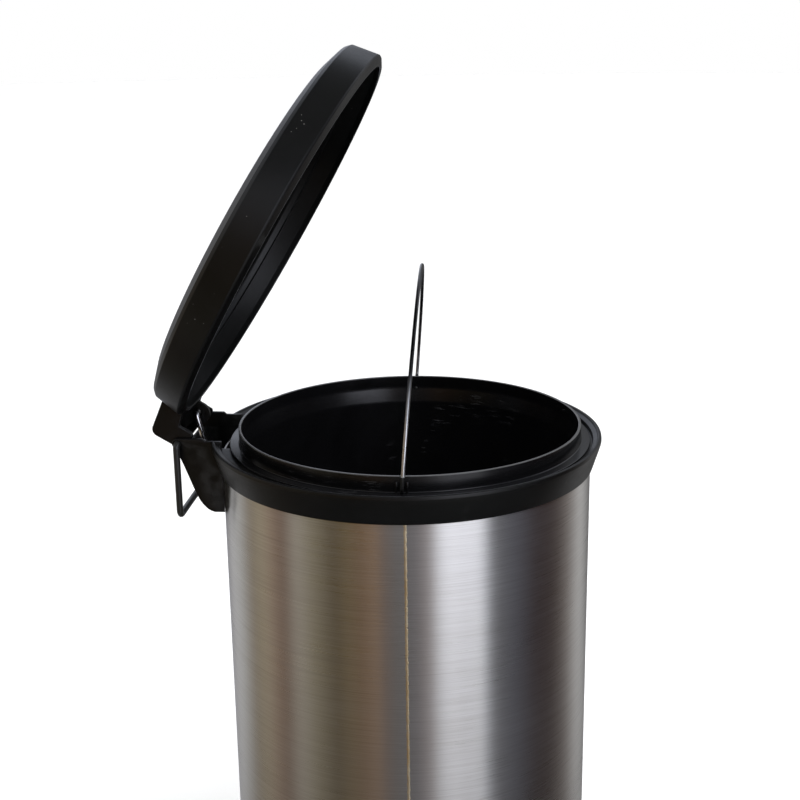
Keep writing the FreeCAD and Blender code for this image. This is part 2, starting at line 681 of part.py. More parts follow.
def make_pedal_pad():
    y = pad_centre_y()
    half = PAD_DEPTH / 2
    block = box(-PAD_HALF, PAD_HALF, y - half, y + half, AXLE_Z - PAD_DOWN, AXLE_Z + PAD_UP)
    corners = [e for e in block.Edges if abs(e.Vertexes[0].X - e.Vertexes[1].X) < 1e-6
               and abs(e.Vertexes[0].Y - e.Vertexes[1].Y) < 1e-6]
    block = block.makeFillet(9.0, corners)
    rim = [e for e in block.Edges if e.BoundBox.ZMin > AXLE_Z + PAD_UP - 0.01]
    block = block.makeFillet(1.6, rim)
    for i in range(5):
        groove_y = y - 10.0 + 5.0 * i
        block = block.cut(box(-PAD_HALF + 8, PAD_HALF - 8, groove_y - 0.9, groove_y + 0.9,
                              AXLE_Z + PAD_UP - 1.0, AXLE_Z + PAD_UP + 1))
    socket = box(-LEVER_HALF - 0.05, LEVER_HALF + 0.05, y - half + 3.0 - 0.05, y + half + 1,
                 AXLE_Z - LEVER_T / 2 - 0.05, AXLE_Z + LEVER_T / 2 + 0.05)
    block = block.cut(socket)
    for dy in (-RIVET_GAP, RIVET_GAP):
        block = block.cut(rod_along(V(0, y + dy, AXLE_Z - 9), V(0, y + dy, AXLE_Z + 1.8), 1.9))
        block = block.cut(rod_along(V(0, y + dy, AXLE_Z - 9), V(0, y + dy, AXLE_Z - 2.6), 3.6))
    return swing(one_solid(block), -LEVER_DOWN, AXLE_Y, AXLE_Z)


def make_pedal_rivets():
    rivets = []
    for dy in (-RIVET_GAP, RIVET_GAP):
        y = pad_centre_y() + dy
        shank = rod_along(V(0, y, AXLE_Z - 2.6), V(0, y, AXLE_Z + 1.7), 1.85)
        head = rod_along(V(0, y, AXLE_Z - 3.8), V(0, y, AXLE_Z - 2.6), 3.4)
        rivets.append(swing(one_solid(shank.fuse(head)), -LEVER_DOWN, AXLE_Y, AXLE_Z))
    return Part.makeCompound(rivets)


def make_axle():
    pin = x_pin(AXLE_R, -AXLE_HALF, AXLE_HALF, AXLE_Y, AXLE_Z)
    return pin.makeChamfer(0.5, [e for e in pin.Edges if e.Curve.TypeId == "Part::GeomCircle"])


def make_axle_washers():
    washers = []
    for side in (-1, 1):
        x = side * (LEVER_HALF + 4.0)
        ring = x_pin(AXLE_R + 3.0, x - 3.4, x + 3.4, AXLE_Y, AXLE_Z)
        washers.append(ring.cut(x_pin(AXLE_R + RUN, x - 5, x + 5, AXLE_Y, AXLE_Z)))
    return Part.makeCompound(washers)


def make_rod_cap(end_y, end_z):
    """A push-on cap that keeps a hooked rod end in its hole."""
    x0 = LUG_HALF + 1.6
    cap = x_pin(ROD_R + 1.6, x0, x0 + 3.2, end_y, end_z)
    return cap.cut(x_pin(ROD_R, x0 - 1, x0 + 2.6, end_y, end_z))


def make_lever_buffer():
    """A rubber stop under the base's floor that the lever's front arm meets."""
    return Part.makeCone(7.0, 6.0, BUFFER_H, V(0, BUFFER_Y, BASE_FLOOR_Z - BUFFER_H))


def main():
    os.makedirs("parts", exist_ok=True)
    save("barrel", make_barrel())
    save("collar", make_collar())
    save("bracket_screws", make_bracket_screws())
    save("bucket", make_bucket())
    save("bucket_bail", make_bail())
    save("lid", make_lid())
    save("carry_handle", make_carry_handle())
    save("push_rod", make_push_rod())
    save("rod_top_cap", make_rod_cap(*lug_point()))
    save("rod_foot_cap", make_rod_cap(*lever_point(LEVER_REAR)))
    save("rod_guide", make_rod_guide())
    save("guide_rivets", make_guide_rivets())
    save("base", make_base())
    save("axle_clip_left", make_axle_clip(CLIP_X[0]))
    save("axle_clip_right", make_axle_clip(CLIP_X[1]))
    save("clip_screws", make_clip_screws())
    save("foot_pads", make_foot_pads())
    save("pedal_axle", make_axle())
    save("axle_spacers", make_axle_washers())
    save("pedal_lever", make_pedal_lever())
    save("pedal_pad", make_pedal_pad())
    save("pedal_rivets", make_pedal_rivets())
    save("lever_buffer", make_lever_buffer())


main()
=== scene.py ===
"""Round pedal trash can: the detailed meshes, materials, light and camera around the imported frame.

Everything is in metres in the part's own frame: origin on the floor under the barrel, +Z up,
pedal towards -Y, hinge towards +Y. MM turns a millimetre figure into metres.
"""

import json
import math

import bmesh
import bpy
from mathutils import Matrix, Vector


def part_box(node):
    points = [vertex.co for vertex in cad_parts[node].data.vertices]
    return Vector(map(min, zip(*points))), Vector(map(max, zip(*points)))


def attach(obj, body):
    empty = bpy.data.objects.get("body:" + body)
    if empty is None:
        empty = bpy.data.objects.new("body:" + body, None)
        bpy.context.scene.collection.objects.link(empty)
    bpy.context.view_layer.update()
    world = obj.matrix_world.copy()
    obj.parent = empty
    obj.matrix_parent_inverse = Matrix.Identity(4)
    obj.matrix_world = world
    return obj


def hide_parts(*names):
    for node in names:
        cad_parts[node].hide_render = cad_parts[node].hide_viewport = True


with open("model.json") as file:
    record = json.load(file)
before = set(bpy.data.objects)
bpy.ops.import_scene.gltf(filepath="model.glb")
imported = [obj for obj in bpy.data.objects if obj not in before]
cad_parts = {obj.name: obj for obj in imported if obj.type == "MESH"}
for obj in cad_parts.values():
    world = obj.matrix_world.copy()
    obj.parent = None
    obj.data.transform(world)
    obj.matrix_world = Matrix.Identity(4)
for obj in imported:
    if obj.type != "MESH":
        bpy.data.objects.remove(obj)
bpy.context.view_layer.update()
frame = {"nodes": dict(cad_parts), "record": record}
record = frame["record"]

MM = 0.001
SPINS = 288  # steps round a large turned piece

# ---- sizes read from the frame ----
JOINTS = {j["name"]: j for j in record["behaviour"]["joints"]}
HINGE = Vector(JOINTS["lid_hinge"]["pos_m"])
LID_OPEN = -JOINTS["lid_hinge"]["range_deg"][0]
BAIL_PIVOT = Vector(JOINTS["bail_swing"]["pos_m"])
ROD_FOOT = Vector(JOINTS["rod_pivot"]["pos_m"])
AXLE = Vector(JOINTS["pedal_pivot"]["pos_m"])

BARREL_LOW, BARREL_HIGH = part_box("barrel")
BARREL_R = BARREL_HIGH.x
COLLAR_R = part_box("collar")[1].x
BUCKET_LOW, BUCKET_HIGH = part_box("bucket")
BUCKET_Y = (BUCKET_LOW.y + BUCKET_HIGH.y) / 2
BUCKET_TURN = math.atan2(JOINTS["bail_swing"]["axis"][1], JOINTS["bail_swing"]["axis"][0])
LID_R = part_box("lid")[1].x
BASE_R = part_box("base")[1].x
COLLAR_TOP = HINGE.z + 2.0 * MM
LID_RIM_Z = COLLAR_TOP + 1.8 * MM
RIM_Z = BUCKET_HIGH.z
ROD_X = -5.2 * MM  # the push rod stands beside the lid's lug
HOOK_END_X = 5.7 * MM  # where the rod's two hooks end


# ---- mesh helpers ----
def rounded(points, steps=5):
    """A closed outline of (r, z, corner radius) in millimetres, with each corner as an arc."""
    out = []
    count = len(points)
    for i, (r, z, radius) in enumerate(points):
        here = Vector((r, z))
        before = Vector(points[i - 1][:2])
        after = Vector(points[(i + 1) % count][:2])
        a = before - here
        b = after - here
        if radius <= 0 or a.length < 1e-6 or b.length < 1e-6:
            out.append(here * MM)
            continue
        half = a.angle(b) / 2
        cut = min(radius / math.tan(half), 0.48 * a.length, 0.48 * b.length)
        start = here + a.normalized() * cut
        end = here + b.normalized() * cut
        for k in range(steps + 1):
            t = k / steps
            out.append(((1 - t) ** 2 * start + 2 * t * (1 - t) * here + t * t * end) * MM)
    return out


def new_object(name, mesh):
    obj = bpy.data.objects.new(name, mesh)
    bpy.context.scene.collection.objects.link(obj)
    return obj


def from_faces(name, verts, faces):
    mesh = bpy.data.meshes.new(name)
    mesh.from_pydata(verts, [], faces)
    return new_object(name, mesh)


def smooth(obj, angle=32.0):
    mesh = obj.data
    mesh.polygons.foreach_set("use_smooth", [True] * len(mesh.polygons))
    mesh.set_sharp_from_angle(angle=math.radians(angle))
    return obj


def lathe(name, outline, centre_y=0.0, spins=SPINS, inside=None):
    """Turns a closed outline of (r, z) points round the vertical axis.

    Points on the axis become poles. inside(r, z) true gives a face the second material."""
    verts = []
    rings = []
    for r, z in outline:
        if r < 1e-6:
            rings.append([len(verts)])
            verts.append((0.0, centre_y, z))
            continue
        ring = []
        for k in range(spins):
            angle = 2 * math.pi * k / spins
            ring.append(len(verts))
            verts.append((r * math.cos(angle), centre_y + r * math.sin(angle), z))
        rings.append(ring)
    faces = []
    marks = []
    for i in range(len(rings)):
        after = (i + 1) % len(rings)
        a = rings[i]
        b = rings[after]
        mid_r = (outline[i][0] + outline[after][0]) / 2
        mid_z = (outline[i][1] + outline[after][1]) / 2
        mark = 1 if inside and inside(mid_r, mid_z) else 0
        for k in range(spins):
            n = (k + 1) % spins
            if len(a) == 1 and len(b) == 1:
                break
            if len(a) == 1:
                faces.append((a[0], b[n], b[k]))
            elif len(b) == 1:
                faces.append((a[k], a[n], b[0]))
            else:
                faces.append((a[k], a[n], b[n], b[k]))
            marks.append(mark)
    obj = from_faces(name, verts, faces)
    obj.data.polygons.foreach_set("material_index", marks)
    outward(obj)
    return smooth(obj)


def outward(obj):
    """Turns every face of a closed mesh outwards."""
    bm = bmesh.new()
    bm.from_mesh(obj.data)
    bmesh.ops.recalc_face_normals(bm, faces=bm.faces)
    bm.to_mesh(obj.data)
    bm.free()


def prism(name, outline_yz, x_low, x_high):
    """A plate from a closed outline in the YZ plane, in metres."""
    count = len(outline_yz)
    verts = [(x_low, y, z) for y, z in outline_yz] + [(x_high, y, z) for y, z in outline_yz]
    faces = [tuple(range(count)), tuple(range(2 * count - 1, count - 1, -1))]
    for i in range(count):
        n = (i + 1) % count
        faces.append((i, i + count, n + count, n))
    obj = from_faces(name, verts, faces)
    outward(obj)
    return obj


def block(name, low, high):
    outline = [(low[1], low[2]), (high[1], low[2]), (high[1], high[2]), (low[1], high[2])]
    return prism(name, outline, low[0], high[0])


def rod(name, start, end, radius, sides=40):
    """A round bar between two points."""
    a = Vector(start)
    b = Vector(end)
    direction = b - a
    bm = bmesh.new()
    bmesh.ops.create_cone(bm, cap_ends=True, segments=sides, radius1=radius, radius2=radius,
                          depth=direction.length)
    turn = direction.to_track_quat("Z", "Y").to_matrix().to_4x4()
    bmesh.ops.transform(bm, matrix=Matrix.Translation((a + b) / 2) @ turn, verts=bm.verts)
    mesh = bpy.data.meshes.new(name)
    bm.to_mesh(mesh)
    bm.free()
    return new_object(name, mesh)


def x_rod(name, x_low, x_high, y, z, radius, sides=40):
    return rod(name, (x_low, y, z), (x_high, y, z), radius, sides)


def apply_modifiers(obj):
    bpy.context.view_layer.update()
    graph = bpy.context.evaluated_depsgraph_get()
    mesh = bpy.data.meshes.new_from_object(obj.evaluated_get(graph))
    obj.modifiers.clear()
    obj.data = mesh
    return obj


def combine(obj, tool, how):
    """Joins or cuts a closed piece with a closed tool, which is then deleted."""
    mod = obj.modifiers.new("combine", "BOOLEAN")
    mod.operation = how
    mod.solver = "EXACT"
    mod.object = tool
    apply_modifiers(obj)
    bpy.data.objects.remove(tool)


def add(obj, tool):
    combine(obj, tool, "UNION")


def cut(obj, tool):
    combine(obj, tool, "DIFFERENCE")


def bevelled(obj, width, segments=3, angle=30.0):
    mod = obj.modifiers.new("bevel", "BEVEL")
    mod.width = width
    mod.segments = segments
    mod.limit_method = "ANGLE"
    mod.angle_limit = math.radians(angle)
    return apply_modifiers(obj)


def bends(points, radii, steps=8):
    """A route through the points with an arc at each corner, from one radius or a list."""
    route = [Vector(points[0])]
    for i in range(1, len(points) - 1):
        here = Vector(points[i])
        radius = radii[i - 1] if isinstance(radii, list) else radii
        a = (Vector(points[i - 1]) - here).normalized()
        b = (Vector(points[i + 1]) - here).normalized()
        half = a.angle(b) / 2
        if half > math.radians(89.0):
            route.append(here)
            continue
        inward = (a + b).normalized()
        centre = here + inward * radius / math.sin(half)
        start = here + a * radius / math.tan(half)
        end = here + b * radius / math.tan(half)
        arm_a = start - centre
        arm_b = end - centre
        for k in range(steps + 1):
            route.append(centre + blend_arm(arm_a, arm_b, k / steps, radius))
    route.append(Vector(points[-1]))
    return route


def blend_arm(a, b, share, radius):
    angle = a.angle(b)
    mix = a * math.sin((1 - share) * angle) + b * math.sin(share * angle)
    return mix.normalized() * radius


def sweep(name, route, radius, sides=24, dome=4):
    """A round wire along a route, with domed ends."""
    points = [Vector(p) for p in route]
    tangents = []
    for i in range(len(points)):
        before = points[max(i - 1, 0)]
        after = points[min(i + 1, len(points) - 1)]
        tangents.append((after - before).normalized())
    side = tangents[0].orthogonal().normalized()
    frames = []
    for i, tangent in enumerate(tangents):
        side = (side - tangent * side.dot(tangent)).normalized()
        frames.append((points[i], tangent, side.copy(), radius))
    start, ahead, start_side, _ = frames[0]
    end, onward, end_side, _ = frames[-1]
    stub = 0.6 * radius  # the dome's height, taken out of the wire's own length
    frames[0] = (start + ahead * stub, ahead, start_side, radius)
    frames[-1] = (end - onward * stub, onward, end_side, radius)
    for k in range(1, dome + 1):
        angle = 0.5 * math.pi * k / (dome + 0.35)
        short = stub * (1 - math.sin(angle))
        size = radius * math.cos(angle)
        frames.insert(0, (start + ahead * short, ahead, start_side, size))
        frames.append((end - onward * short, onward, end_side, size))
    verts = []
    for centre, tangent, axis, size in frames:
        other = tangent.cross(axis)
        for k in range(sides):
            angle = 2 * math.pi * k / sides
            verts.append(centre + (axis * math.cos(angle) + other * math.sin(angle)) * size)
    faces = []
    for i in range(len(frames) - 1):
        for k in range(sides):
            n = (k + 1) % sides
            faces.append((i * sides + k, i * sides + n, (i + 1) * sides + n, (i + 1) * sides + k))
    faces.append(tuple(range(sides - 1, -1, -1)))
    faces.append(tuple(range((len(frames) - 1) * sides, len(frames) * sides)))
    obj = from_faces(name, [tuple(v) for v in verts], faces)
    outward(obj)
    return smooth(obj, 50.0)


def turn_about_x(obj, degrees, pivot):
    """Turns a mesh about an axis along +X through the pivot."""
    move = Matrix.Translation(pivot) @ Matrix.Rotation(math.radians(degrees), 4, "X")
    obj.data.transform(move @ Matrix.Translation(-Vector(pivot)))
    return obj


# ---- materials ----
class Maker:
    """Short calls for building one node material."""

    def __init__(self, name):
        self.material = bpy.data.materials.new(name)
        self.material.use_nodes = True
        self.nodes = self.material.node_tree.nodes
        self.links = self.material.node_tree.links
        self.shader = self.nodes["Principled BSDF"]
        self.place = self.nodes.new("ShaderNodeTexCoord").outputs["Object"]

    def set(self, **values):
        for key, value in values.items():
            self.shader.inputs[key.replace("_", " ")].default_value = value
        return self

    def parts(self):
        node = self.nodes.new("ShaderNodeSeparateXYZ")
        self.links.new(self.place, node.inputs["Vector"])
        return node.outputs

    def stretch(self, scale, source=None):
        node = self.nodes.new("ShaderNodeMapping")
        node.inputs["Scale"].default_value = scale
        self.links.new(source or self.place, node.inputs["Vector"])
        return node.outputs["Vector"]

    def noise(self, scale, detail=3.0, rough=0.5, source=None, distort=0.0):
        node = self.nodes.new("ShaderNodeTexNoise")
        node.inputs["Scale"].default_value = scale
        node.inputs["Detail"].default_value = detail
        node.inputs["Roughness"].default_value = rough
        node.inputs["Distortion"].default_value = distort
        self.links.new(source or self.place, node.inputs["Vector"])
        return node.outputs["Fac"]

    def cells(self, scale, source=None):
        node = self.nodes.new("ShaderNodeTexVoronoi")
        node.inputs["Scale"].default_value = scale
        self.links.new(source or self.place, node.inputs["Vector"])
        return node.outputs["Distance"]

    def span(self, value, low, high, to_low=0.0, to_high=1.0):
        node = self.nodes.new("ShaderNodeMapRange")
        node.inputs["From Min"].default_value = low
        node.inputs["From Max"].default_value = high
        node.inputs["To Min"].default_value = to_low
        node.inputs["To Max"].default_value = to_high
        self.links.new(value, node.inputs["Value"])
        return node.outputs["Result"]

    def maths(self, how, a, b=None):
        node = self.nodes.new("ShaderNodeMath")
        node.operation = how
        for i, value in enumerate((a, b)):
            if value is None:
                continue
            if isinstance(value, (int, float)):
                node.inputs[i].default_value = value
            else:
                self.links.new(value, node.inputs[i])
        return node.outputs["Value"]

    def product(self, a, b):
        return self.maths("MULTIPLY", a, b)

    def total(self, a, b):
        return self.maths("ADD", a, b)

    def mix(self, share, low, high):
        node = self.nodes.new("ShaderNodeMix")
        node.data_type = "RGBA"
        self.links.new(share, node.inputs["Factor"])
        for name, value in (("A", low), ("B", high)):
            socket = [s for s in node.inputs if s.name == name and s.type == "RGBA"][0]
            if hasattr(value, "node"):
                self.links.new(value, socket)
            else:
                socket.default_value = (*value, 1.0)
        return [s for s in node.outputs if s.type == "RGBA"][0]

    def bump(self, height, depth, strength=1.0, under=None):
        node = self.nodes.new("ShaderNodeBump")
        node.inputs["Strength"].default_value = strength
        node.inputs["Distance"].default_value = depth
        self.links.new(height, node.inputs["Height"])
        if under is not None:
            self.links.new(under, node.inputs["Normal"])
        return node.outputs["Normal"]

    def edges(self, low=0.52, high=0.62):
        node = self.nodes.new("ShaderNodeNewGeometry")
        return self.span(node.outputs["Pointiness"], low, high)

    def feed(self, socket, value):
        self.links.new(value, self.shader.inputs[socket])
        return self


SEAM_TURN = math.radians(5.1)  # the weld stands this far past the -X side


def times(tone, factor):
    return tuple(t * factor for t in tone)


def around(m, radius):
    """Coordinates unrolled from a vertical cylinder, their jump hidden under the weld bead."""
    x, y, z = m.parts()
    c, s = math.cos(SEAM_TURN), math.sin(SEAM_TURN)
    across = m.maths("SUBTRACT", m.product(y, c), m.product(x, s))
    ahead = m.total(m.product(x, c), m.product(y, s))
    angle = m.maths("ARCTAN2", across, ahead)
    join = m.nodes.new("ShaderNodeCombineXYZ")
    m.links.new(m.product(angle, radius), join.inputs["X"])
    m.links.new(z, join.inputs["Y"])
    return join.outputs["Vector"]


def brushed_barrel():
    """Stainless sheet with fine horizontal grain, faint waves, smears and small scratches."""
    m = Maker("brushed_barrel")
    m.set(Metallic=1.0, Anisotropic=0.95, Anisotropic_Rotation=0.25)
    flat = around(m, BARREL_R)
    grain = m.noise(1.0, 4.0, 0.65, m.stretch((16.0, 2600.0, 1.0), flat))
    streak = m.noise(1.0, 3.0, 0.6, m.stretch((5.0, 700.0, 1.0), flat))
    smear = m.noise(9.0, 4.0, 0.6, distort=0.8)
    tint = m.mix(m.span(smear, 0.3, 0.75), (0.58, 0.565, 0.54), (0.66, 0.65, 0.635))
    tint = m.mix(m.span(streak, 0.35, 0.7), tint, (0.52, 0.50, 0.48))
    m.feed("Base Color", m.mix(m.span(grain, 0.35, 0.7), tint, (0.74, 0.73, 0.72)))
    rough = m.total(m.span(grain, 0.3, 0.7, 0.235, 0.315), m.span(smear, 0.35, 0.7, 0.0, 0.05))
    m.feed("Roughness", m.total(rough, m.span(streak, 0.4, 0.7, 0.0, 0.03)))
    fine = m.bump(grain, 0.000012, 0.5)
    waves = m.noise(1.0, 2.0, 0.5, m.stretch((14.0, 2.0, 1.0), flat))
    m.feed("Normal", m.bump(waves, 0.0006, 0.35, fine))
    turn = m.nodes.new("ShaderNodeTangent")
    turn.direction_type = "RADIAL"
    turn.axis = "Z"
    m.links.new(turn.outputs["Tangent"], m.shader.inputs["Tangent"])
    return m.material


def weld_metal():
    """The weld seam: straw-coloured heat tint with a fine ripple along the bead."""
    m = Maker("weld_metal")
    m.set(Metallic=1.0)
    ripple = m.noise(1.0, 2.0, 0.5, m.stretch((300.0, 300.0, 900.0)))
    patch = m.noise(60.0, 2.0, 0.5)
    m.feed("Base Color", m.mix(m.span(patch, 0.35, 0.65), (0.74, 0.58, 0.34), (0.86, 0.76, 0.55)))
    m.feed("Roughness", m.span(ripple, 0.3, 0.7, 0.30, 0.55))
    m.feed("Normal", m.bump(ripple, 0.0002, 0.8))
    return m.material


def black_plastic(name, tone, rough, grain_scale=2600.0, grain_depth=0.00004, dust=0.0, smear=0.08,
                  shine=0.30):
    """Moulded black plastic: fine grain, handling smears, dust specks and paler worn edges."""
    m = Maker(name)
    m.set(Specular_IOR_Level=shine)
    cloud = m.noise(14.0, 4.0, 0.6, distort=0.6)
    colour = m.mix(m.span(cloud, 0.3, 0.7), times(tone, 0.8), times(tone, 1.35))
    worn = m.product(m.edges(), m.span(m.noise(120.0), 0.35, 0.6))
    pale = tuple(t + 0.03 for t in times(tone, 5.0))
    colour = m.mix(m.product(worn, 0.35), colour, pale)
    if dust > 0:
        speck = m.span(m.cells(190.0), 0.055, 0.03)
        patch = m.span(m.noise(26.0, 2.0), 0.56, 0.70)
        speck = m.product(speck, patch)
        colour = m.mix(m.product(speck, dust), colour, (0.42, 0.41, 0.39))
    m.feed("Base Color", colour)
    grain = m.noise(grain_scale, 2.0, 0.5)
    sheen = m.span(cloud, 0.3, 0.7, rough - smear / 2, rough + smear / 2)
    m.feed("Roughness", m.total(sheen, m.span(m.noise(320.0), 0.3, 0.7, -0.02, 0.02)))
    ripple = m.noise(9.0, 2.0, 0.5)
    m.feed("Normal", m.bump(ripple, 0.0009, 0.25, m.bump(grain, grain_depth, 0.6)))
    return m.material


def scuffed_plastic(name, tone, rough):
    """The bucket: shinier black plastic with pale scuffs and drag marks, and a painted highlight along the
    top of its rim.
    """
    m = Maker(name)
    m.set(Specular_IOR_Level=0.5)
    cloud = m.noise(11.0, 4.0, 0.6, distort=1.0)
    marks = m.noise(1.0, 4.0, 0.7, m.stretch((60.0, 60.0, 480.0)))
    patch = m.noise(17.0, 3.0, 0.6, distort=0.4)
    scuff = m.product(m.span(marks, 0.56, 0.72), m.span(patch, 0.56, 0.72))
    base = m.mix(m.span(cloud, 0.3, 0.7), times(tone, 0.8), times(tone, 1.3))
    colour = m.mix(m.product(scuff, 0.32), base, (0.34, 0.34, 0.36))
    # Painted highlight: the top of the rim is paler, standing in for the thin line of light along its
    # edge.
    lip = m.span(m.parts()["Z"], RIM_Z - 0.6 * MM, RIM_Z - 0.1 * MM)
    lip = m.product(lip, m.span(cloud, 0.2, 0.6, 0.5, 1.0))
    m.feed("Base Color", m.mix(lip, colour, (0.07, 0.07, 0.07)))
    sheen = m.span(cloud, 0.3, 0.7, rough - 0.05, rough + 0.07)
    m.feed("Roughness", m.total(sheen, m.product(scuff, 0.25)))
    ripple = m.noise(6.0, 2.0, 0.5)
    m.feed("Normal", m.bump(ripple, 0.0016, 0.35, m.bump(m.noise(1500.0), 0.00002, 0.5)))
    return m.material


def wire_finish(m, patch, low, high):
    """Fine draw lines, and roughness that changes in patches."""
    line = m.noise(900.0, 2.0, 0.5)
    m.feed("Roughness", m.total(m.span(patch, 0.3, 0.7, low, high), m.span(line, 0.3, 0.7, 0.0, 0.05)))
    m.feed("Normal", m.bump(line, 0.00002, 0.5))


def drawn_wire(name, tone, rough):
    """Round wire with faint draw lines and a duller, darker skin in patches."""
    m = Maker(name)
    m.set(Metallic=1.0)
    patch = m.noise(70.0, 3.0, 0.6)
    m.feed("Base Color", m.mix(m.span(patch, 0.35, 0.65), times(tone, 0.72), tone))
    wire_finish(m, patch, rough, rough + 0.12)
    return m.material


def bail_steel():
    """Zinc-grey wire with painted shade that darkens it towards its crown, and both feet black below the
    rim's top.
    """
    m = Maker("bail_steel")
    height = m.parts()["Z"]
    patch = m.noise(70.0, 3.0, 0.6)
    mottle = m.span(patch, 0.35, 0.65)
    shank = m.mix(mottle, (0.74, 0.75, 0.77), (0.88, 0.89, 0.91))
    # Painted shade: the wire is darkened towards its crown, standing in for a dark reflection there.
    painted_dark_crown = m.mix(mottle, (0.05, 0.05, 0.05), (0.09, 0.09, 0.09))
    tone = m.mix(m.span(height, RIM_Z + 16 * MM, RIM_Z + 60 * MM), shank, painted_dark_crown)
    # Both feet turn black and lose their metal just above the rim's top.
    black_feet = m.span(height, RIM_Z + 1.4 * MM, RIM_Z + 0.2 * MM)
    m.feed("Base Color", m.mix(black_feet, tone, (0.012, 0.012, 0.012)))
    m.feed("Metallic", m.maths("SUBTRACT", 1.0, black_feet))
    wire_finish(m, patch, 0.24, 0.36)
    return m.material


def dull_rubber():
    """Dark rubber with a chalky bloom in patches."""
    m = Maker("dull_rubber")
    cloud = m.noise(60.0, 4.0, 0.6)
    m.feed("Base Color", m.mix(m.span(cloud, 0.3, 0.7), (0.022, 0.022, 0.022), (0.045, 0.044, 0.042)))
    m.feed("Roughness", m.span(cloud, 0.3, 0.7, 0.75, 0.92))
    m.feed("Normal", m.bump(m.noise(1400.0, 3.0), 0.00008, 0.7))
    return m.material


def coated_steel(name, tone, rough):
    """Painted or coated steel with orange peel and worn edges showing bare metal."""
    m = Maker(name)
    peel = m.noise(420.0, 2.0, 0.5)
    cloud = m.noise(40.0, 3.0, 0.6)
    worn = m.product(m.edges(0.53, 0.6), m.span(m.noise(220.0), 0.45, 0.6))
    base = m.mix(m.span(cloud, 0.3, 0.7), times(tone, 0.8), times(tone, 1.3))
    m.feed("Base Color", m.mix(m.product(worn, 0.5), base, (0.30, 0.29, 0.28)))
    m.feed("Roughness", m.span(cloud, 0.3, 0.7, rough - 0.05, rough + 0.08))
    m.feed("Normal", m.bump(peel, 0.00005, 0.6))
    return m.material


def dress(obj, *materials):
    obj.data.materials.clear()
    for material in materials:
        obj.data.materials.append(material)
    return obj


def piece(obj, body, materials, nodes=()):
    """Finishes a piece: its materials, the body it rides on and the CAD nodes it stands for."""
    dress(obj, *materials)
    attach(obj, body)
    if nodes:
        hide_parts(*nodes)
    return obj


STEEL = brushed_barrel()
WELD = weld_metal()
SATIN = black_plastic("satin_black", (0.0030, 0.0030, 0.0030), 0.34, dust=0.8)
CAP_BLACK = black_plastic("cap_black", (0.0065, 0.0065, 0.0065), 0.47, 1700.0, 0.00006)
GLOSS = black_plastic("gloss_black", (0.0045, 0.0048, 0.006), 0.15, 900.0, 0.00001, smear=0.10, shine=0.5)
LINER = scuffed_plastic("liner_black", (0.0035, 0.0035, 0.0040), 0.20)
BASE_BLACK = black_plastic("base_black", (0.015, 0.015, 0.015), 0.46, 1900.0, 0.00006)
WIRE = bail_steel()
CHROME = drawn_wire("bright_chrome", (0.86, 0.86, 0.88), 0.10)
ZINC = drawn_wire("zinc_plate", (0.62, 0.61, 0.58), 0.32)
PLAIN_STEEL = drawn_wire("pressed_steel", (0.52, 0.51, 0.50), 0.34)
COATED = coated_steel("coated_wire", (0.012, 0.012, 0.012), 0.36)
PAINTED = coated_steel("painted_lever", (0.018, 0.018, 0.018), 0.40)
RUBBER = dull_rubber()


# ---- barrel ----
R_MM = BARREL_R / MM
SHEET = 0.8  # in millimetres, like the next two
FOLD = 0.7  # how far the folded top edge stands in
FOLD_H = 5.0
SLOT_HALF = 6.0 * MM  # the push rod's slot: half its width,
SLOT_LOW = COLLAR_TOP - 45 * MM  # and the heights of its two ends
SLOT_HIGH = COLLAR_TOP - 20 * MM


def make_barrel():
    """The rolled sheet: a folded top edge, a plain foot and the push rod's slot."""
    low = BARREL_LOW.z / MM
    high = BARREL_HIGH.z / MM
    inner = R_MM - SHEET
    outline = rounded([
        (inner, low, 0.2), (R_MM, low, 0.3), (R_MM, (low + high) / 2, 0), (R_MM, high, 0.7),
        (inner - FOLD, high, 0.6), (inner - FOLD, high - FOLD_H, 0.3), (inner, high - FOLD_H - 0.5, 0.3),
        (inner, (low + high) / 2, 0),
    ], 4)
    barrel = lathe("steel_barrel", outline, spins=360)
    slot = block("slot", (ROD_X - SLOT_HALF, BARREL_R - 23 * MM, SLOT_LOW),
                 (ROD_X + SLOT_HALF, BARREL_R + 7 * MM, SLOT_HIGH))
    cut(barrel, slot)
    smooth(barrel, 25.0)
    return piece(barrel, "can", [STEEL], ["barrel"])


SEAM_HALF = 0.85 * MM
SEAM_RISE = 0.10 * MM
SEAM_ROWS = 420
SEAM_ACROSS = 5


def near_barrel(turn, height, z):
    """A point of the seam, turned from its middle line and raised above the sheet."""
    angle = SEAM_TURN - math.pi + turn
    r = BARREL_R + height
    return (r * math.cos(angle), r * math.sin(angle), z)


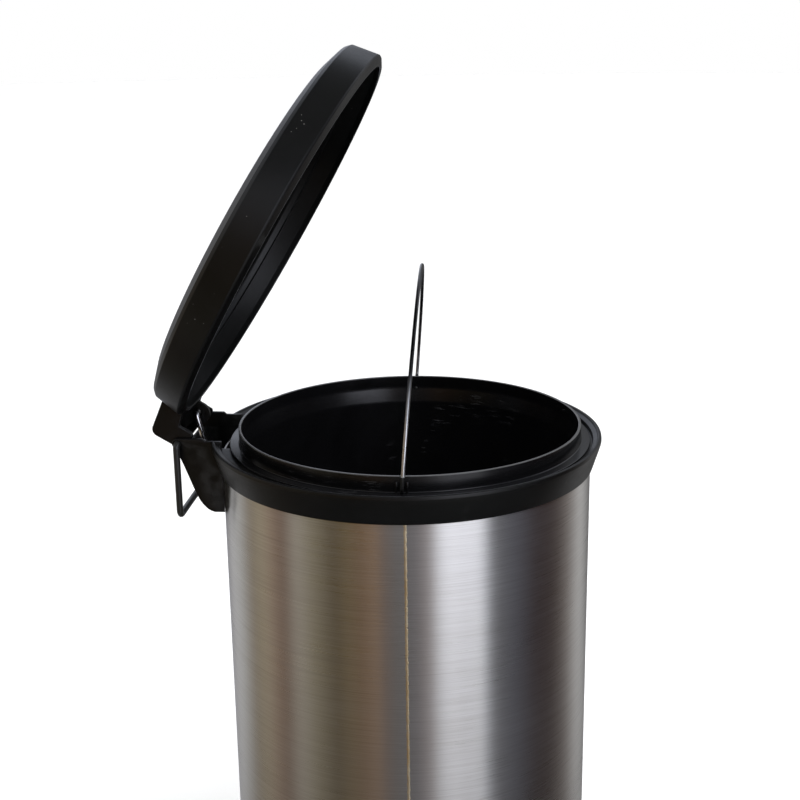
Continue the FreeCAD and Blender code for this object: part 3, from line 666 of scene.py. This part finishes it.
def make_seam():
    """The weld bead that joins the sheet's edges: a narrow, slightly uneven raised strip."""
    low = BARREL_LOW.z + 0.5 * MM
    high = COLLAR_TOP - 18.0 * MM
    heights = [low + (high - low) * i / SEAM_ROWS for i in range(SEAM_ROWS + 1)]
    verts = []
    for z in heights:
        sway = 0.10 * MM * math.sin(z * 940.0) + 0.07 * MM * math.sin(z * 2300.0 + 1.3)
        swell = 1.0 + 0.16 * math.sin(z * 3100.0) + 0.10 * math.sin(z * 1270.0 + 0.7)
        for k in range(SEAM_ACROSS):
            share = -1 + 2 * k / (SEAM_ACROSS - 1)
            offset = share * SEAM_HALF * swell + sway
            height = SEAM_RISE * (1 - share * share) * swell + 0.015 * MM
            verts.append(near_barrel(offset / BARREL_R, height, z))
    back = len(verts)
    for z in heights:
        for share in (-1, 1):
            verts.append(near_barrel(share * SEAM_HALF * 0.9 / BARREL_R, -0.1 * MM, z))
    faces = []
    for i in range(SEAM_ROWS):
        front = i * SEAM_ACROSS
        after = front + SEAM_ACROSS
        left, right = back + 2 * i, back + 2 * i + 1
        for k in range(SEAM_ACROSS - 1):
            faces.append((front + k, front + k + 1, after + k + 1, after + k))
        faces.append((front, after, left + 2, left))
        faces.append((after - 1, right, right + 2, after + SEAM_ACROSS - 1))
        faces.append((left, left + 2, right + 2, right))
    for i in (0, SEAM_ROWS):
        end = list(range(i * SEAM_ACROSS, (i + 1) * SEAM_ACROSS))
        faces.append(tuple(end + [back + 2 * i + 1, back + 2 * i]))
    seam = from_faces("weld_seam", verts, faces)
    outward(seam)
    smooth(seam, 60.0)
    return piece(seam, "can", [WELD])


# ---- collar and hinge housing ----
NECK_X = 33.0 * MM
NECK_WALL = 2.6 * MM
WIRE_BORE = 2.26 * MM
EAR_R = 3.6 * MM
BARREL_GAP = 0.15  # collar's inside to the sheet, in millimetres
HOUSING_FRONT = 112.0 * MM
HOUSING_FOOT = 49.1 * MM  # below the collar's lip
HOUSING_BACK = [  # (y, drop below the collar's lip) in millimetres
    (150.7, 4.0), (148.9, 8.0), (146.3, 13.2), (142.2, 23.6), (138.8, 32.7),
    (135.4, 40.3), (132.6, 44.4), (129.2, 47.5), (125.6, 49.0),
]


def smooth_curve(points, steps=6):
    """A Catmull-Rom curve through the points."""
    out = []
    last = len(points) - 1
    for i in range(last):
        p0 = Vector(points[max(i - 1, 0)])
        p1 = Vector(points[i])
        p2 = Vector(points[i + 1])
        p3 = Vector(points[min(i + 2, last)])
        for k in range(steps):
            t = k / steps
            out.append(0.5 * (2 * p1 + (p2 - p0) * t + (2 * p0 - 5 * p1 + 4 * p2 - p3) * t * t
                              + (3 * p1 - p0 - 3 * p2 + p3) * t ** 3))
    out.append(Vector(points[-1]))
    return out


def housing_outline(wall, top):
    """The hinge housing from the side: (y, z) in metres, its back and foot moved in by a wall."""
    outline = [(HOUSING_FRONT, COLLAR_TOP + top)]
    if wall == 0:
        outline += [(129.6 * MM, COLLAR_TOP), (131.6 * MM, HINGE.z + EAR_R), (HINGE.y, HINGE.z + EAR_R)]
    else:
        outline.append((HINGE.y - wall, COLLAR_TOP + top))
    foot = COLLAR_TOP - HOUSING_FOOT + wall
    for y, drop in smooth_curve(HOUSING_BACK):
        outline.append((y * MM - wall, max(COLLAR_TOP - drop * MM, foot)))
    outline.append((HOUSING_FRONT, outline[-1][1]))
    return outline


def collar_ring():
    """The ring: outer band and lip, the bucket's ledge, and a skirt down inside the barrel."""
    t = COLLAR_TOP / MM
    c = COLLAR_R / MM
    over_sheet = R_MM + BARREL_GAP
    top_of_sheet = BARREL_HIGH.z / MM + 0.2
    skirt_in = R_MM - SHEET - FOLD - 0.1
    outline = rounded([
        (over_sheet, t - 19.6, 0.2), (124.6, t - 19.6, 0.5), (c - 0.6, t - 4.6, 3.0),
        (c, t - 2.3, 1.2), (c - 0.3, t, 1.0), (c - 2.2, t, 0.7), (c - 2.8, t - 1.2, 0.5),
        (124.4, t - 2.3, 0.6), (124.0, t - 5.0, 0.2), (115.8, t - 5.0, 0.4),
        (115.8, t - 7.2, 0.4), (skirt_in - 1.8, t - 7.2, 0.2), (skirt_in - 1.8, t - 18.0, 0.4),
        (skirt_in, t - 18.0, 0.4), (skirt_in, top_of_sheet, 0.1), (over_sheet, top_of_sheet, 0.1),
    ])
    return lathe("collar", outline)


def hinge_bore():
    """The hole for the handle wire's pins, which collar and lid share."""
    return x_rod("bore", -60 * MM, 60 * MM, HINGE.y, HINGE.z, WIRE_BORE, 32)


def make_collar():
    """The ring with its hinge housing: two cheeks, a curved back and an open channel between."""
    ring = collar_ring()
    body = prism("housing", housing_outline(0, 0), -NECK_X, NECK_X)
    bevelled(body, 1.1 * MM, 4, 40.0)
    ears = x_rod("ears", -NECK_X, NECK_X, HINGE.y, HINGE.z, EAR_R, 64)
    bevelled(ears, 0.6 * MM, 3, 50.0)
    add(body, ears)
    core = rod("core", (0, 0, COLLAR_TOP - 60 * MM), (0, 0, COLLAR_TOP + 20 * MM),
               (R_MM + BARREL_GAP) * MM, SPINS)
    cut(body, core)
    add(ring, body)
    half = NECK_X - NECK_WALL
    room = prism("room", housing_outline(NECK_WALL, 20 * MM), -half, half)
    cut(ring, room)
    above = block("above", (-half, HOUSING_FRONT, COLLAR_TOP - 9 * MM),
                  (half, HINGE.y + 8 * MM, COLLAR_TOP + 9 * MM))
    cut(ring, above)
    notch = block("notch", (-half, 90 * MM, COLLAR_TOP - 30 * MM), (half, 135 * MM, COLLAR_TOP + 2 * MM))
    cut(ring, notch)
    cut(ring, hinge_bore())
    bevelled(ring, 0.22 * MM, 2, 48.0)
    smooth(ring, 30.0)
    ring.name = "collar_moulding"
    return piece(ring, "can", [SATIN], ["collar"])


# ---- bucket ----
RIB_SPREAD = 3.3 * MM  # each bail-seat rib stands this far from the wire
RIB_HALF = 0.75 * MM


def make_bucket():
    """The liner: raised rim, hanging flange, tapered wall, a dished floor and two bail seats."""
    top = RIM_Z / MM
    ledge = COLLAR_TOP / MM - 5.0
    flange = ledge + 1.8
    low = BUCKET_LOW.z / MM
    outline = rounded([
        (0, low + 1.2, 0), (88.0, low + 1.2, 2.0), (89.5, low, 1.0), (94.0, low, 3.0),
        (97.4, low + 4.0, 5.0), (111.8, ledge, 1.0), (120.0, ledge, 0.5), (120.0, flange, 0.5),
        (113.9, flange, 0.9), (113.9, top, 0.6), (112.1, top, 0.6), (112.0, ledge + 4.0, 18.0),
        (110.0, ledge - 7.0, 18.0), (95.6, low + 5.0, 5.0), (92.0, low + 1.9, 3.0), (0, low + 3.0, 0),
    ], 6)
    bucket = lathe("bucket_liner", outline, BUCKET_Y)
    for low_x, high_x in ((-115.25 * MM, -113.0 * MM), (113.0 * MM, 115.25 * MM)):
        for dy in (-RIB_SPREAD, RIB_SPREAD):
            rib = block("rib", (low_x, BUCKET_Y + dy - RIB_HALF, (flange - 0.8) * MM),
                        (high_x, BUCKET_Y + dy + RIB_HALF, (flange + 7.2) * MM))
            bevelled(rib, 0.45 * MM, 3)
            add(bucket, rib)
    cut(bucket, x_rod("bore", -119 * MM, 119 * MM, BAIL_PIVOT.y, BAIL_PIVOT.z, 1.27 * MM, 32))
    turn_in_place(bucket)
    smooth(bucket, 30.0)
    return piece(bucket, "can", [LINER], ["bucket"])


BAIL_HALF = 116.8  # middle to leg, in millimetres like the next three
BAIL_RISE = 112.0  # pivots to crown
BAIL_LEAD = 12.0  # straight start of each leg
BAIL_SHOULDER = 88.0  # radius of the arch's two shoulders
BAIL_LEAN = 4.5  # degrees


def turn_in_place(obj):
    """Turns the bucket or its bail a little about the bucket's middle."""
    middle = Vector((0, BUCKET_Y, 0))
    move = Matrix.Translation(middle) @ Matrix.Rotation(BUCKET_TURN, 4, "Z")
    obj.data.transform(move @ Matrix.Translation(-middle))


def make_bail():
    """The bucket's lifting wire: an arch with both ends turned in through the wall."""
    y = BAIL_PIVOT.y
    end = 110.5 * MM
    half = BAIL_HALF * MM
    spring = BAIL_PIVOT.z + BAIL_LEAD * MM
    leg = bends([(-end, y, BAIL_PIVOT.z), (-half, y, BAIL_PIVOT.z), (-half, y, spring)], 2.6 * MM)
    centre = BAIL_HALF - BAIL_SHOULDER
    height = BAIL_RISE - BAIL_LEAD
    crown = (centre ** 2 + height ** 2 - BAIL_SHOULDER ** 2) / (2 * (height - BAIL_SHOULDER))
    meet = math.atan2(crown - height, centre)
    steps = 36
    for k in range(1, steps):
        angle = meet * k / steps
        leg.append(Vector((-(centre + BAIL_SHOULDER * math.cos(angle)) * MM, y,
                           spring + BAIL_SHOULDER * math.sin(angle) * MM)))
    top = []
    for k in range(steps * 2 + 1):
        angle = math.pi - meet - (math.pi - 2 * meet) * k / (steps * 2)
        top.append(Vector((crown * math.cos(angle) * MM, y,
                           spring + (height - crown + crown * math.sin(angle)) * MM)))
    other_leg = [Vector((-p.x, p.y, p.z)) for p in reversed(leg)]
    bail = sweep("bail_wire", leg + top + other_leg, 1.2 * MM)
    turn_about_x(bail, BAIL_LEAN, BAIL_PIVOT)
    turn_in_place(bail)
    return piece(bail, "bail", [WIRE], ["bucket_bail"])


# ---- lid ----
def dome(radius, crown, sag, steps=20):
    """Points of a shallow dome from its middle to its edge, in millimetres."""
    ball = (radius * radius + sag * sag) / (2 * sag)
    out = []
    for k in range(steps):
        r = radius * k / steps
        out.append((r, crown - ball + math.sqrt(ball * ball - r * r), 0))
    return out


def lid_shell():
    """The lid's dish with its deep skirt; the faces inside take the second, glossier material."""
    z = LID_RIM_Z / MM
    crown = z + 29.0
    outer = dome(115.6, crown, 1.6)
    inner = [(r, h, 0) for r, h, _ in reversed(dome(114.6, crown - 2.4, 1.6))]
    outline = rounded(outer + [
        (115.6, z + 27.4, 5.0), (127.2, z + 23.3, 0.5), (129.5, z + 21.0, 1.3),
        (LID_R / MM, z + 3.6, 0.7), (131.7, z + 2.4, 0.5), (127.7, z, 0.7), (125.5, z, 0.7),
        (126.4, z + 4.0, 1.0), (125.8, z + 15.4, 0.5), (124.3, z + 16.3, 0.5),
        (123.5, z + 20.4, 3.0), (114.6, z + 25.0, 4.0),
    ] + inner)

    def inner_side(r, h):
        if r > 126.2 * MM:
            return False
        if r > 113.5 * MM:
            return h < (z + 25.8) * MM
        return h < (crown - 2.0) * MM

    return lathe("lid", outline, inside=inner_side)


HOOD_X = 30.0 * MM
HOOD_WALL = 2.6 * MM
LUG_REACH = 14.5 * MM
LUG_RISE = 0.5 * MM
LUG_HALF = 1.5 * MM


def hood_outline(inset):
    """The hood over the hinge, from the side, with the lid shut: (y, z) in metres."""
    y = HINGE.y / MM
    z = HINGE.z / MM
    top = z + 20.2 - inset
    back = y + 3.4 - inset
    radius = 5.2 - inset
    low = z + 5.0 if inset == 0 else z - 15.0
    ear = y - 10.7
    drop = z - 6.4
    points = [(118.0, low), (118.0, top + 2.8), (y - 20.0, top + 2.2)]
    for k in range(13):
        angle = math.radians(90.0 - 7.5 * k)
        points.append((back - radius + radius * math.cos(angle), top - radius + radius * math.sin(angle)))
    if inset == 0:
        points += [(back, z - 2.0), (y - 1.5, drop + 0.4), (y - 3.0, drop), (ear + 1.5, drop),
                   (ear, drop + 1.5), (ear, z + 4.6), (y - 20.0, z + 6.5)]
    else:
        points.append((y + 0.4 - inset, z - 15.0))
    return [(a * MM, b * MM) for a, b in points]


def lid_inside():
    """A plug that fills the lid's inside, to keep the hood and the lug out of it."""
    return rod("inside", (0, 0, LID_RIM_Z - 15 * MM), (0, 0, LID_RIM_Z + 23.2 * MM), 126.6 * MM, SPINS)


def make_lug():
    """The plate that the push rod hooks into, with the web that joins it to the hood."""
    y = HINGE.y - LUG_REACH
    z = HINGE.z + LUG_RISE
    lug = x_rod("lug", -LUG_HALF, LUG_HALF, y + 0.4 * MM, z - 1.0 * MM, 7.6 * MM, 72)
    web = prism("web", [(y - 7.2 * MM, z), (HINGE.y - 6 * MM, HINGE.z - 4.6 * MM),
                        (HINGE.y + 0.6 * MM, HINGE.z - 3.6 * MM), (HINGE.y + 1.6 * MM, HINGE.z + 12 * MM),
                        (HINGE.y - 2 * MM, HINGE.z + 17 * MM), (y - 6.6 * MM, HINGE.z + 18.4 * MM)],
                -LUG_HALF, LUG_HALF)
    add(lug, web)
    cut(lug, lid_inside())
    cut(lug, x_rod("hole", -5 * MM, 5 * MM, y, z, 3.6 * MM))
    return bevelled(lug, 0.35 * MM, 2, 50.0)


def make_lid():
    """The lid with its hood, hinge ears and push-rod lug, made shut and then swung open."""
    lid = lid_shell()
    hood = prism("hood", hood_outline(0), -HOOD_X, HOOD_X)
    bevelled(hood, 1.8 * MM, 5, 40.0)
    half = HOOD_X - HOOD_WALL
    room = prism("room", hood_outline(HOOD_WALL / MM), -half, half)
    cut(hood, room)
    gap = block("gap", (-half, HINGE.y - 9 * MM, HINGE.z - 9 * MM),
                (half, HINGE.y + 9 * MM, HINGE.z + 3 * MM))
    cut(hood, gap)
    cut(hood, lid_inside())
    add(lid, hood)
    add(lid, make_lug())
    cut(lid, hinge_bore())
    turn_about_x(lid, -LID_OPEN, HINGE)
    smooth(lid, 30.0)
    lid.name = "lid_moulding"
    return piece(lid, "lid", [SATIN, GLOSS], ["lid"])


# ---- wires ----
def make_handle():
    """The rear carry handle; its turned-in ends are the pins of the lid's hinge."""
    end = 26.8 * MM
    arm = 35.6 * MM
    low = HINGE.z - 49.1 * MM
    points = [(-end, HINGE.y, HINGE.z), (-arm, HINGE.y, HINGE.z), (-arm, HINGE.y, low),
              (arm, HINGE.y, low), (arm, HINGE.y, HINGE.z), (end, HINGE.y, HINGE.z)]
    handle = sweep("carry_wire", bends(points, [2.6 * MM, 4.2 * MM, 4.2 * MM, 2.6 * MM]), 2.2 * MM)
    return piece(handle, "handle", [COATED], ["carry_handle"])


def lug_point():
    """Where the lug's hole stands with the lid open: y, z."""
    angle = math.radians(LID_OPEN)
    y = HINGE.y - LUG_REACH * math.cos(angle) + LUG_RISE * math.sin(angle)
    z = HINGE.z + LUG_REACH * math.sin(angle) + LUG_RISE * math.cos(angle)
    return y, z


def make_rod():
    """The push rod, hooked through the lever's ear below and the lid's lug above."""
    top_y, top_z = lug_point()
    points = [(HOOK_END_X, ROD_FOOT.y, ROD_FOOT.z), (ROD_X, ROD_FOOT.y, ROD_FOOT.z),
              (ROD_X, 118.4 * MM, COLLAR_TOP - 46 * MM), (ROD_X, 137.2 * MM, COLLAR_TOP - 7 * MM),
              (ROD_X, top_y, top_z), (HOOK_END_X, top_y, top_z)]
    wire = sweep("rod_wire", bends(points, 2.6 * MM), 1.8 * MM)
    return piece(wire, "rod", [CHROME], ["push_rod"])


# ---- base and pedal ----
FLOOR_Z = 42.5  # underside of the base's floor, in millimetres
POST_TOP = (FLOOR_Z + 1.0) * MM
LEVER_DOWN = 4.2  # degrees that the pressed pedal hangs below level


def make_base():
    """The base moulding: skirt, spigot inside the barrel, floor, pedal slot and axle saddles."""
    b = BASE_R / MM
    foot = BARREL_LOW.z / MM
    spigot = R_MM - SHEET - 0.1
    outline = rounded([
        (b - 1.0, 3.0, 0.6), (b, 4.2, 0.8), (b, foot - 3.0, 1.5), (b - 2.2, foot - 0.1, 0.8),
        (spigot, foot - 0.1, 0.1), (spigot, 54.0, 0.5), (spigot - 2.4, 54.0, 0.5),
        (spigot - 2.4, FLOOR_Z + 2.4, 1.0), (0, FLOOR_Z + 2.4, 0), (0, FLOOR_Z, 0),
        (spigot - 2.6, FLOOR_Z, 1.0), (spigot - 2.6, foot - 2.8, 0.6), (b - 2.6, foot - 5.4, 0.8),
        (b - 2.6, 5.4, 0.6), (103.0, 5.4, 0.4), (103.0, 3.0, 0.4),
    ])
    base = lathe("base_moulding", outline)
    slot = block("slot", (-19 * MM, -140 * MM, 2 * MM), (19 * MM, -90 * MM, 36.8 * MM))
    bevelled(slot, 2.5 * MM, 4)
    cut(base, slot)
    rod_gap = block("gap", (ROD_X - 9 * MM, 95 * MM, POST_TOP - 2 * MM),
                    (ROD_X + 13.2 * MM, 117 * MM, POST_TOP + 3 * MM))
    cut(base, rod_gap)
    rear = block("rear", (-14 * MM, ROD_FOOT.y - 12 * MM, 2 * MM), (14 * MM, ROD_FOOT.y + 9 * MM, 6 * MM))
    cut(base, rear)
    bearings = (-24 * MM, 24 * MM)
    posts = [(x, AXLE.y + dy) for x in bearings for dy in (-11 * MM, 11 * MM)]
    for x, y in posts:
        add(base, rod("post", (x, y, AXLE.z), (x, y, POST_TOP), 3.4 * MM, 32))
    for x in bearings:
        saddle = block("saddle", (x - 4 * MM, AXLE.y - 5 * MM, AXLE.z),
                       (x + 4 * MM, AXLE.y + 5 * MM, POST_TOP))
        add(base, saddle)
    cut(base, x_rod("bore", -40 * MM, 40 * MM, AXLE.y, AXLE.z, 2.56 * MM, 32))
    for x, y in posts:
        hole = rod("hole", (x, y, AXLE.z - 1 * MM), (x, y, AXLE.z + 9 * MM), 1.5 * MM, 20)
        cut(base, hole)
    smooth(base, 30.0)
    return piece(base, "can", [BASE_BLACK], ["base"])


PAD_HALF_X = 31.0 * MM
PAD_HALF_Y = 17.0 * MM
PAD_CORNER = 9.0 * MM


def make_pedal_pad():
    """The tread: a rounded pad with raised grip bars, tilted with the pressed pedal."""
    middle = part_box("pedal_pad")[0].y + 0.45 * MM + PAD_HALF_Y
    under = AXLE.z - 4.2 * MM
    top = AXLE.z + 3.3 * MM
    edge = []
    steps = 8
    for sx, sy, start in ((1, 1, 0), (-1, 1, 90), (-1, -1, 180), (1, -1, 270)):
        cx = sx * (PAD_HALF_X - PAD_CORNER)
        cy = middle + sy * (PAD_HALF_Y - PAD_CORNER)
        for k in range(steps + 1):
            angle = math.radians(start + 90 * k / steps)
            edge.append((cx + PAD_CORNER * math.cos(angle), cy + PAD_CORNER * math.sin(angle)))
    count = len(edge)
    points = [(x, y, under) for x, y in edge] + [(x, y, top) for x, y in edge]
    faces = [tuple(range(count - 1, -1, -1)), tuple(range(count, 2 * count))]
    for i in range(count):
        n = (i + 1) % count
        faces.append((i, n, n + count, i + count))
    pad = from_faces("pedal_tread", points, faces)
    outward(pad)
    bevelled(pad, 1.5 * MM, 4, 40.0)
    for i in range(6):
        y = middle + (-12.5 + 5.0 * i) * MM
        bar = block("bar", (-23 * MM, y - 1.3 * MM, top - 0.6 * MM),
                    (23 * MM, y + 1.3 * MM, top + 1.1 * MM))
        bevelled(bar, 0.6 * MM, 3)
        add(pad, bar)
    socket = block("socket", (-10.05 * MM, middle - 14 * MM, AXLE.z - 1.35 * MM),
                   (10.05 * MM, middle + 18 * MM, AXLE.z + 1.35 * MM))
    cut(pad, socket)
    for y in (middle - 8 * MM, middle + 8 * MM):
        hole = rod("hole", (0, y, AXLE.z - 6 * MM), (0, y, AXLE.z - 2.6 * MM), 3.6 * MM, 32)
        cut(pad, hole)
    turn_about_x(pad, LEVER_DOWN, AXLE)
    smooth(pad, 32.0)
    return piece(pad, "pedal", [BASE_BLACK], ["pedal_pad"])


# ---- CAD nodes that stay, with finer materials ----
KEPT = {
    "bracket_screws": ZINC, "guide_rivets": ZINC, "clip_screws": ZINC, "pedal_rivets": ZINC,
    "axle_clip_left": PLAIN_STEEL, "axle_clip_right": PLAIN_STEEL, "pedal_axle": PLAIN_STEEL,
    "pedal_lever": PAINTED, "rod_guide": BASE_BLACK, "axle_spacers": BASE_BLACK,
    "rod_top_cap": CAP_BLACK, "rod_foot_cap": CAP_BLACK, "lever_buffer": RUBBER, "foot_pads": RUBBER,
}


def keep_cad_nodes():
    """Gives the small CAD parts that are drawn as they are their materials."""
    for name, material in KEPT.items():
        for slot in frame["nodes"][name].material_slots:
            slot.material = material


# ---- stage, light and camera ----
FLOOR_HALF = 12.0
ROOM_R = 3.2
ROOM_LOW = -3.4
ROOM_HIGH = 3.6
GLOW = 4.0  # brightness that a ramp colour of 1 stands for
ROOM_GAIN = 1.35
UPPER_GLOW = (0.95, 1.02, 1.18)  # bluish daylight above the panels
UPPER_SHARE = 0.42
LOW_GLOW = (0.05, 0.05, 0.05)  # the panels' dark feet
LOW_SHARE = 0.7
WINDOW_PANE = (1.6, 1.65, 1.85)  # a window's glass above its sill
PANE_EDGES = (198, 207, 228, 235)  # azimuths where it fades in and out, in degrees

ROOM_BANDS = [  # azimuth in degrees, colour as (red, green, blue)
    (0, (0.10, 0.10, 0.11)),
    (8, (0.55, 0.58, 0.66)),
    (22, (0.55, 0.58, 0.66)),
    (30, (0.12, 0.12, 0.13)),
    (47, (0.44, 0.44, 0.45)),
    (64, (0.36, 0.36, 0.35)),
    (77, (0.17, 0.13, 0.085)),
    (87, (0.30, 0.26, 0.18)),
    (96, (0.25, 0.18, 0.13)),
    (106, (0.12, 0.07, 0.045)),
    (116, (0.32, 0.29, 0.24)),
    (128, (0.19, 0.16, 0.10)),
    (142, (0.075, 0.05, 0.018)),
    (150, (0.14, 0.10, 0.042)),
    (157, (0.14, 0.08, 0.034)),
    (167, (0.23, 0.15, 0.09)),
    (171, (0.14, 0.10, 0.08)),
    (180, (0.12, 0.115, 0.11)),
    (190, (0.13, 0.12, 0.125)),
    (199, (0.27, 0.23, 0.22)),
    (204, (0.50, 0.50, 0.50)),
    (213, (0.54, 0.53, 0.52)),
    (220, (0.38, 0.37, 0.36)),
    (229, (0.56, 0.56, 0.56)),
    (233, (0.22, 0.23, 0.25)),
    (239, (0.11, 0.11, 0.12)),
    (252, (0.065, 0.065, 0.08)),
    (268, (0.02, 0.01, 0.01)),
    (285, (0.03, 0.018, 0.015)),
    (300, (0.15, 0.13, 0.12)),
    (316, (0.46, 0.46, 0.46)),
    (336, (0.12, 0.12, 0.12)),
]


def make_floor():
    h = FLOOR_HALF
    floor = from_faces("floor", [(-h, -h, 0), (h, -h, 0), (h, h, 0), (-h, h, 0)], [(0, 1, 2, 3)])
    m = Maker("pale_floor")
    m.feed("Base Color", m.mix(m.span(m.noise(3.0), 0.3, 0.7), (0.90, 0.90, 0.90), (0.92, 0.92, 0.92)))
    m.set(Roughness=0.9, Specular_IOR_Level=0.1)
    dress(floor, m.material)
    floor.visible_glossy = False


def ring_wall(name, radius, low, high, steps=240):
    """An open ring round the stage that gives no diffuse light and casts no shadow."""
    verts = []
    faces = []
    for k in range(steps):
        angle = 2 * math.pi * k / steps
        x, y = radius * math.cos(angle), radius * math.sin(angle)
        verts += [(x, y, low), (x, y, high)]
        n = (k + 1) % steps
        faces.append((2 * k, 2 * n, 2 * n + 1, 2 * k + 1))
    wall = from_faces(name, verts, faces)
    wall.visible_diffuse = False
    wall.visible_shadow = False
    wall.visible_transmission = False
    return wall


def glow_from(m, colour, strength):
    """Lets the material shine, in a plain colour or a node's."""
    glow = m.nodes.new("ShaderNodeEmission")
    glow.inputs["Strength"].default_value = strength
    if hasattr(colour, "node"):
        m.links.new(colour, glow.inputs["Color"])
    else:
        glow.inputs["Color"].default_value = (*colour, 1.0)
    m.links.new(glow.outputs["Emission"], m.nodes["Material Output"].inputs["Surface"])
    return m.material


def make_room():
    """A tall ring of tinted panels round the can, seen only in its reflections."""
    room = ring_wall("room_panels", ROOM_R, ROOM_LOW, ROOM_HIGH)
    m = Maker("room_light")
    x, y, z = m.parts()
    turns = m.total(m.maths("DIVIDE", m.maths("ARCTAN2", y, x), 2 * math.pi), 1.0)
    share = m.maths("FRACT", turns)
    ramp = m.nodes.new("ShaderNodeValToRGB")
    stops = ramp.color_ramp.elements
    while len(stops) > 1:
        stops.remove(stops[0])
    for i, (azimuth, colour) in enumerate(ROOM_BANDS):
        stop = stops[0] if i == 0 else stops.new(azimuth / 360)
        stop.position = azimuth / 360
        stop.color = (*times(colour, 1 / GLOW), 1.0)
    m.links.new(share, ramp.inputs["Fac"])
    upper = m.product(m.span(z, 1.2, 2.4), UPPER_SHARE)
    colour = m.mix(upper, ramp.outputs["Color"], times(UPPER_GLOW, 1 / GLOW))
    low = m.product(m.span(z, -1.45, -2.1), LOW_SHARE)
    colour = m.mix(low, colour, times(LOW_GLOW, 1 / GLOW))
    start, full, fade, end = (azimuth / 360 for azimuth in PANE_EDGES)
    pane = m.product(m.span(share, start, full), m.span(share, end, fade))
    pane = m.product(pane, m.span(z, -0.55, 0.1))
    colour = m.mix(pane, colour, times(WINDOW_PANE, 1 / GLOW))
    dress(room, glow_from(m, colour, GLOW * ROOM_GAIN))
    room.visible_camera = False


def make_backdrop():
    """A white wall far behind everything, seen only by the camera."""
    wall = ring_wall("backdrop", FLOOR_HALF * 0.98, -0.5, 9.0)
    dress(wall, glow_from(Maker("backdrop_white"), (1, 1, 1), 1.0))
    wall.visible_glossy = False


LIGHT_AIM = Vector((0, 0, 0.38))


def area_light(name, place, size, power, tint=(1, 1, 1)):
    """A rectangular light aimed at the can and left out of its reflections."""
    data = bpy.data.lights.new(name, "AREA")
    data.shape = "RECTANGLE"
    data.size, data.size_y = size
    data.energy = power
    data.color = tint
    light = bpy.data.objects.new(name, data)
    bpy.context.scene.collection.objects.link(light)
    light.location = place
    light.rotation_euler = (LIGHT_AIM - Vector(place)).to_track_quat("-Z", "Y").to_euler()
    light.visible_glossy = False


def make_light():
    """A wide soft sky and three area lights; the room's panels draw the reflections."""
    world = bpy.data.worlds.new("studio")
    bpy.context.scene.world = world
    world.use_nodes = True
    background = world.node_tree.nodes["Background"].inputs
    background["Color"].default_value = (0.9, 0.95, 1.0, 1)
    background["Strength"].default_value = 0.10
    sky = bpy.data.lights.new("sky", "SUN")
    sky.energy = 3.3
    sky.angle = math.radians(110.0)
    over = bpy.data.objects.new("sky", sky)
    bpy.context.scene.collection.objects.link(over)
    over.visible_glossy = False
    area_light("top_soft", (-0.3, -0.9, 2.0), (1.3, 0.9), 16, (0.93, 0.96, 1.0))
    area_light("window", (-1.2, -2.1, 1.1), (0.8, 1.3), 12, (0.92, 0.96, 1.0))
    area_light("rear_fill", (0.6, 1.9, 1.7), (1.0, 1.0), 6)


CAMERA_AT = Vector((-0.884, -0.089, 0.650))
CAMERA_HEADING = 5.99  # degrees from +X towards +Y
CAMERA_PITCH = 16.12  # degrees below level
CAMERA_ROLL = 0.85  # degrees
FOCAL_MM = 62.43


def make_camera():
    """The photo's view: from the can's left, a little above its rim."""
    data = bpy.data.cameras.new("camera")
    data.lens = FOCAL_MM
    data.sensor_width = 36.0
    data.clip_start = 0.05
    data.clip_end = 60.0
    camera = bpy.data.objects.new("camera", data)
    bpy.context.scene.collection.objects.link(camera)
    heading = math.radians(CAMERA_HEADING)
    pitch = math.radians(CAMERA_PITCH)
    forward = Vector((math.cos(heading) * math.cos(pitch), math.sin(heading) * math.cos(pitch),
                      -math.sin(pitch)))
    right = Vector((math.sin(heading), -math.cos(heading), 0))
    up = right.cross(forward)
    roll = math.radians(CAMERA_ROLL)
    side = right * math.cos(roll) - up * math.sin(roll)
    top = right * math.sin(roll) + up * math.cos(roll)
    turn = Matrix((side, top, -forward)).transposed()
    camera.matrix_world = Matrix.Translation(CAMERA_AT) @ turn.to_4x4()
    bpy.context.scene.camera = camera


for build in (make_barrel, make_seam, make_collar, make_bucket, make_bail, make_lid, make_handle, make_rod,
              make_base, make_pedal_pad, keep_cad_nodes, make_floor, make_room, make_backdrop, make_light,
              make_camera):
    build()
bpy.context.scene.view_settings.view_transform = "Standard"
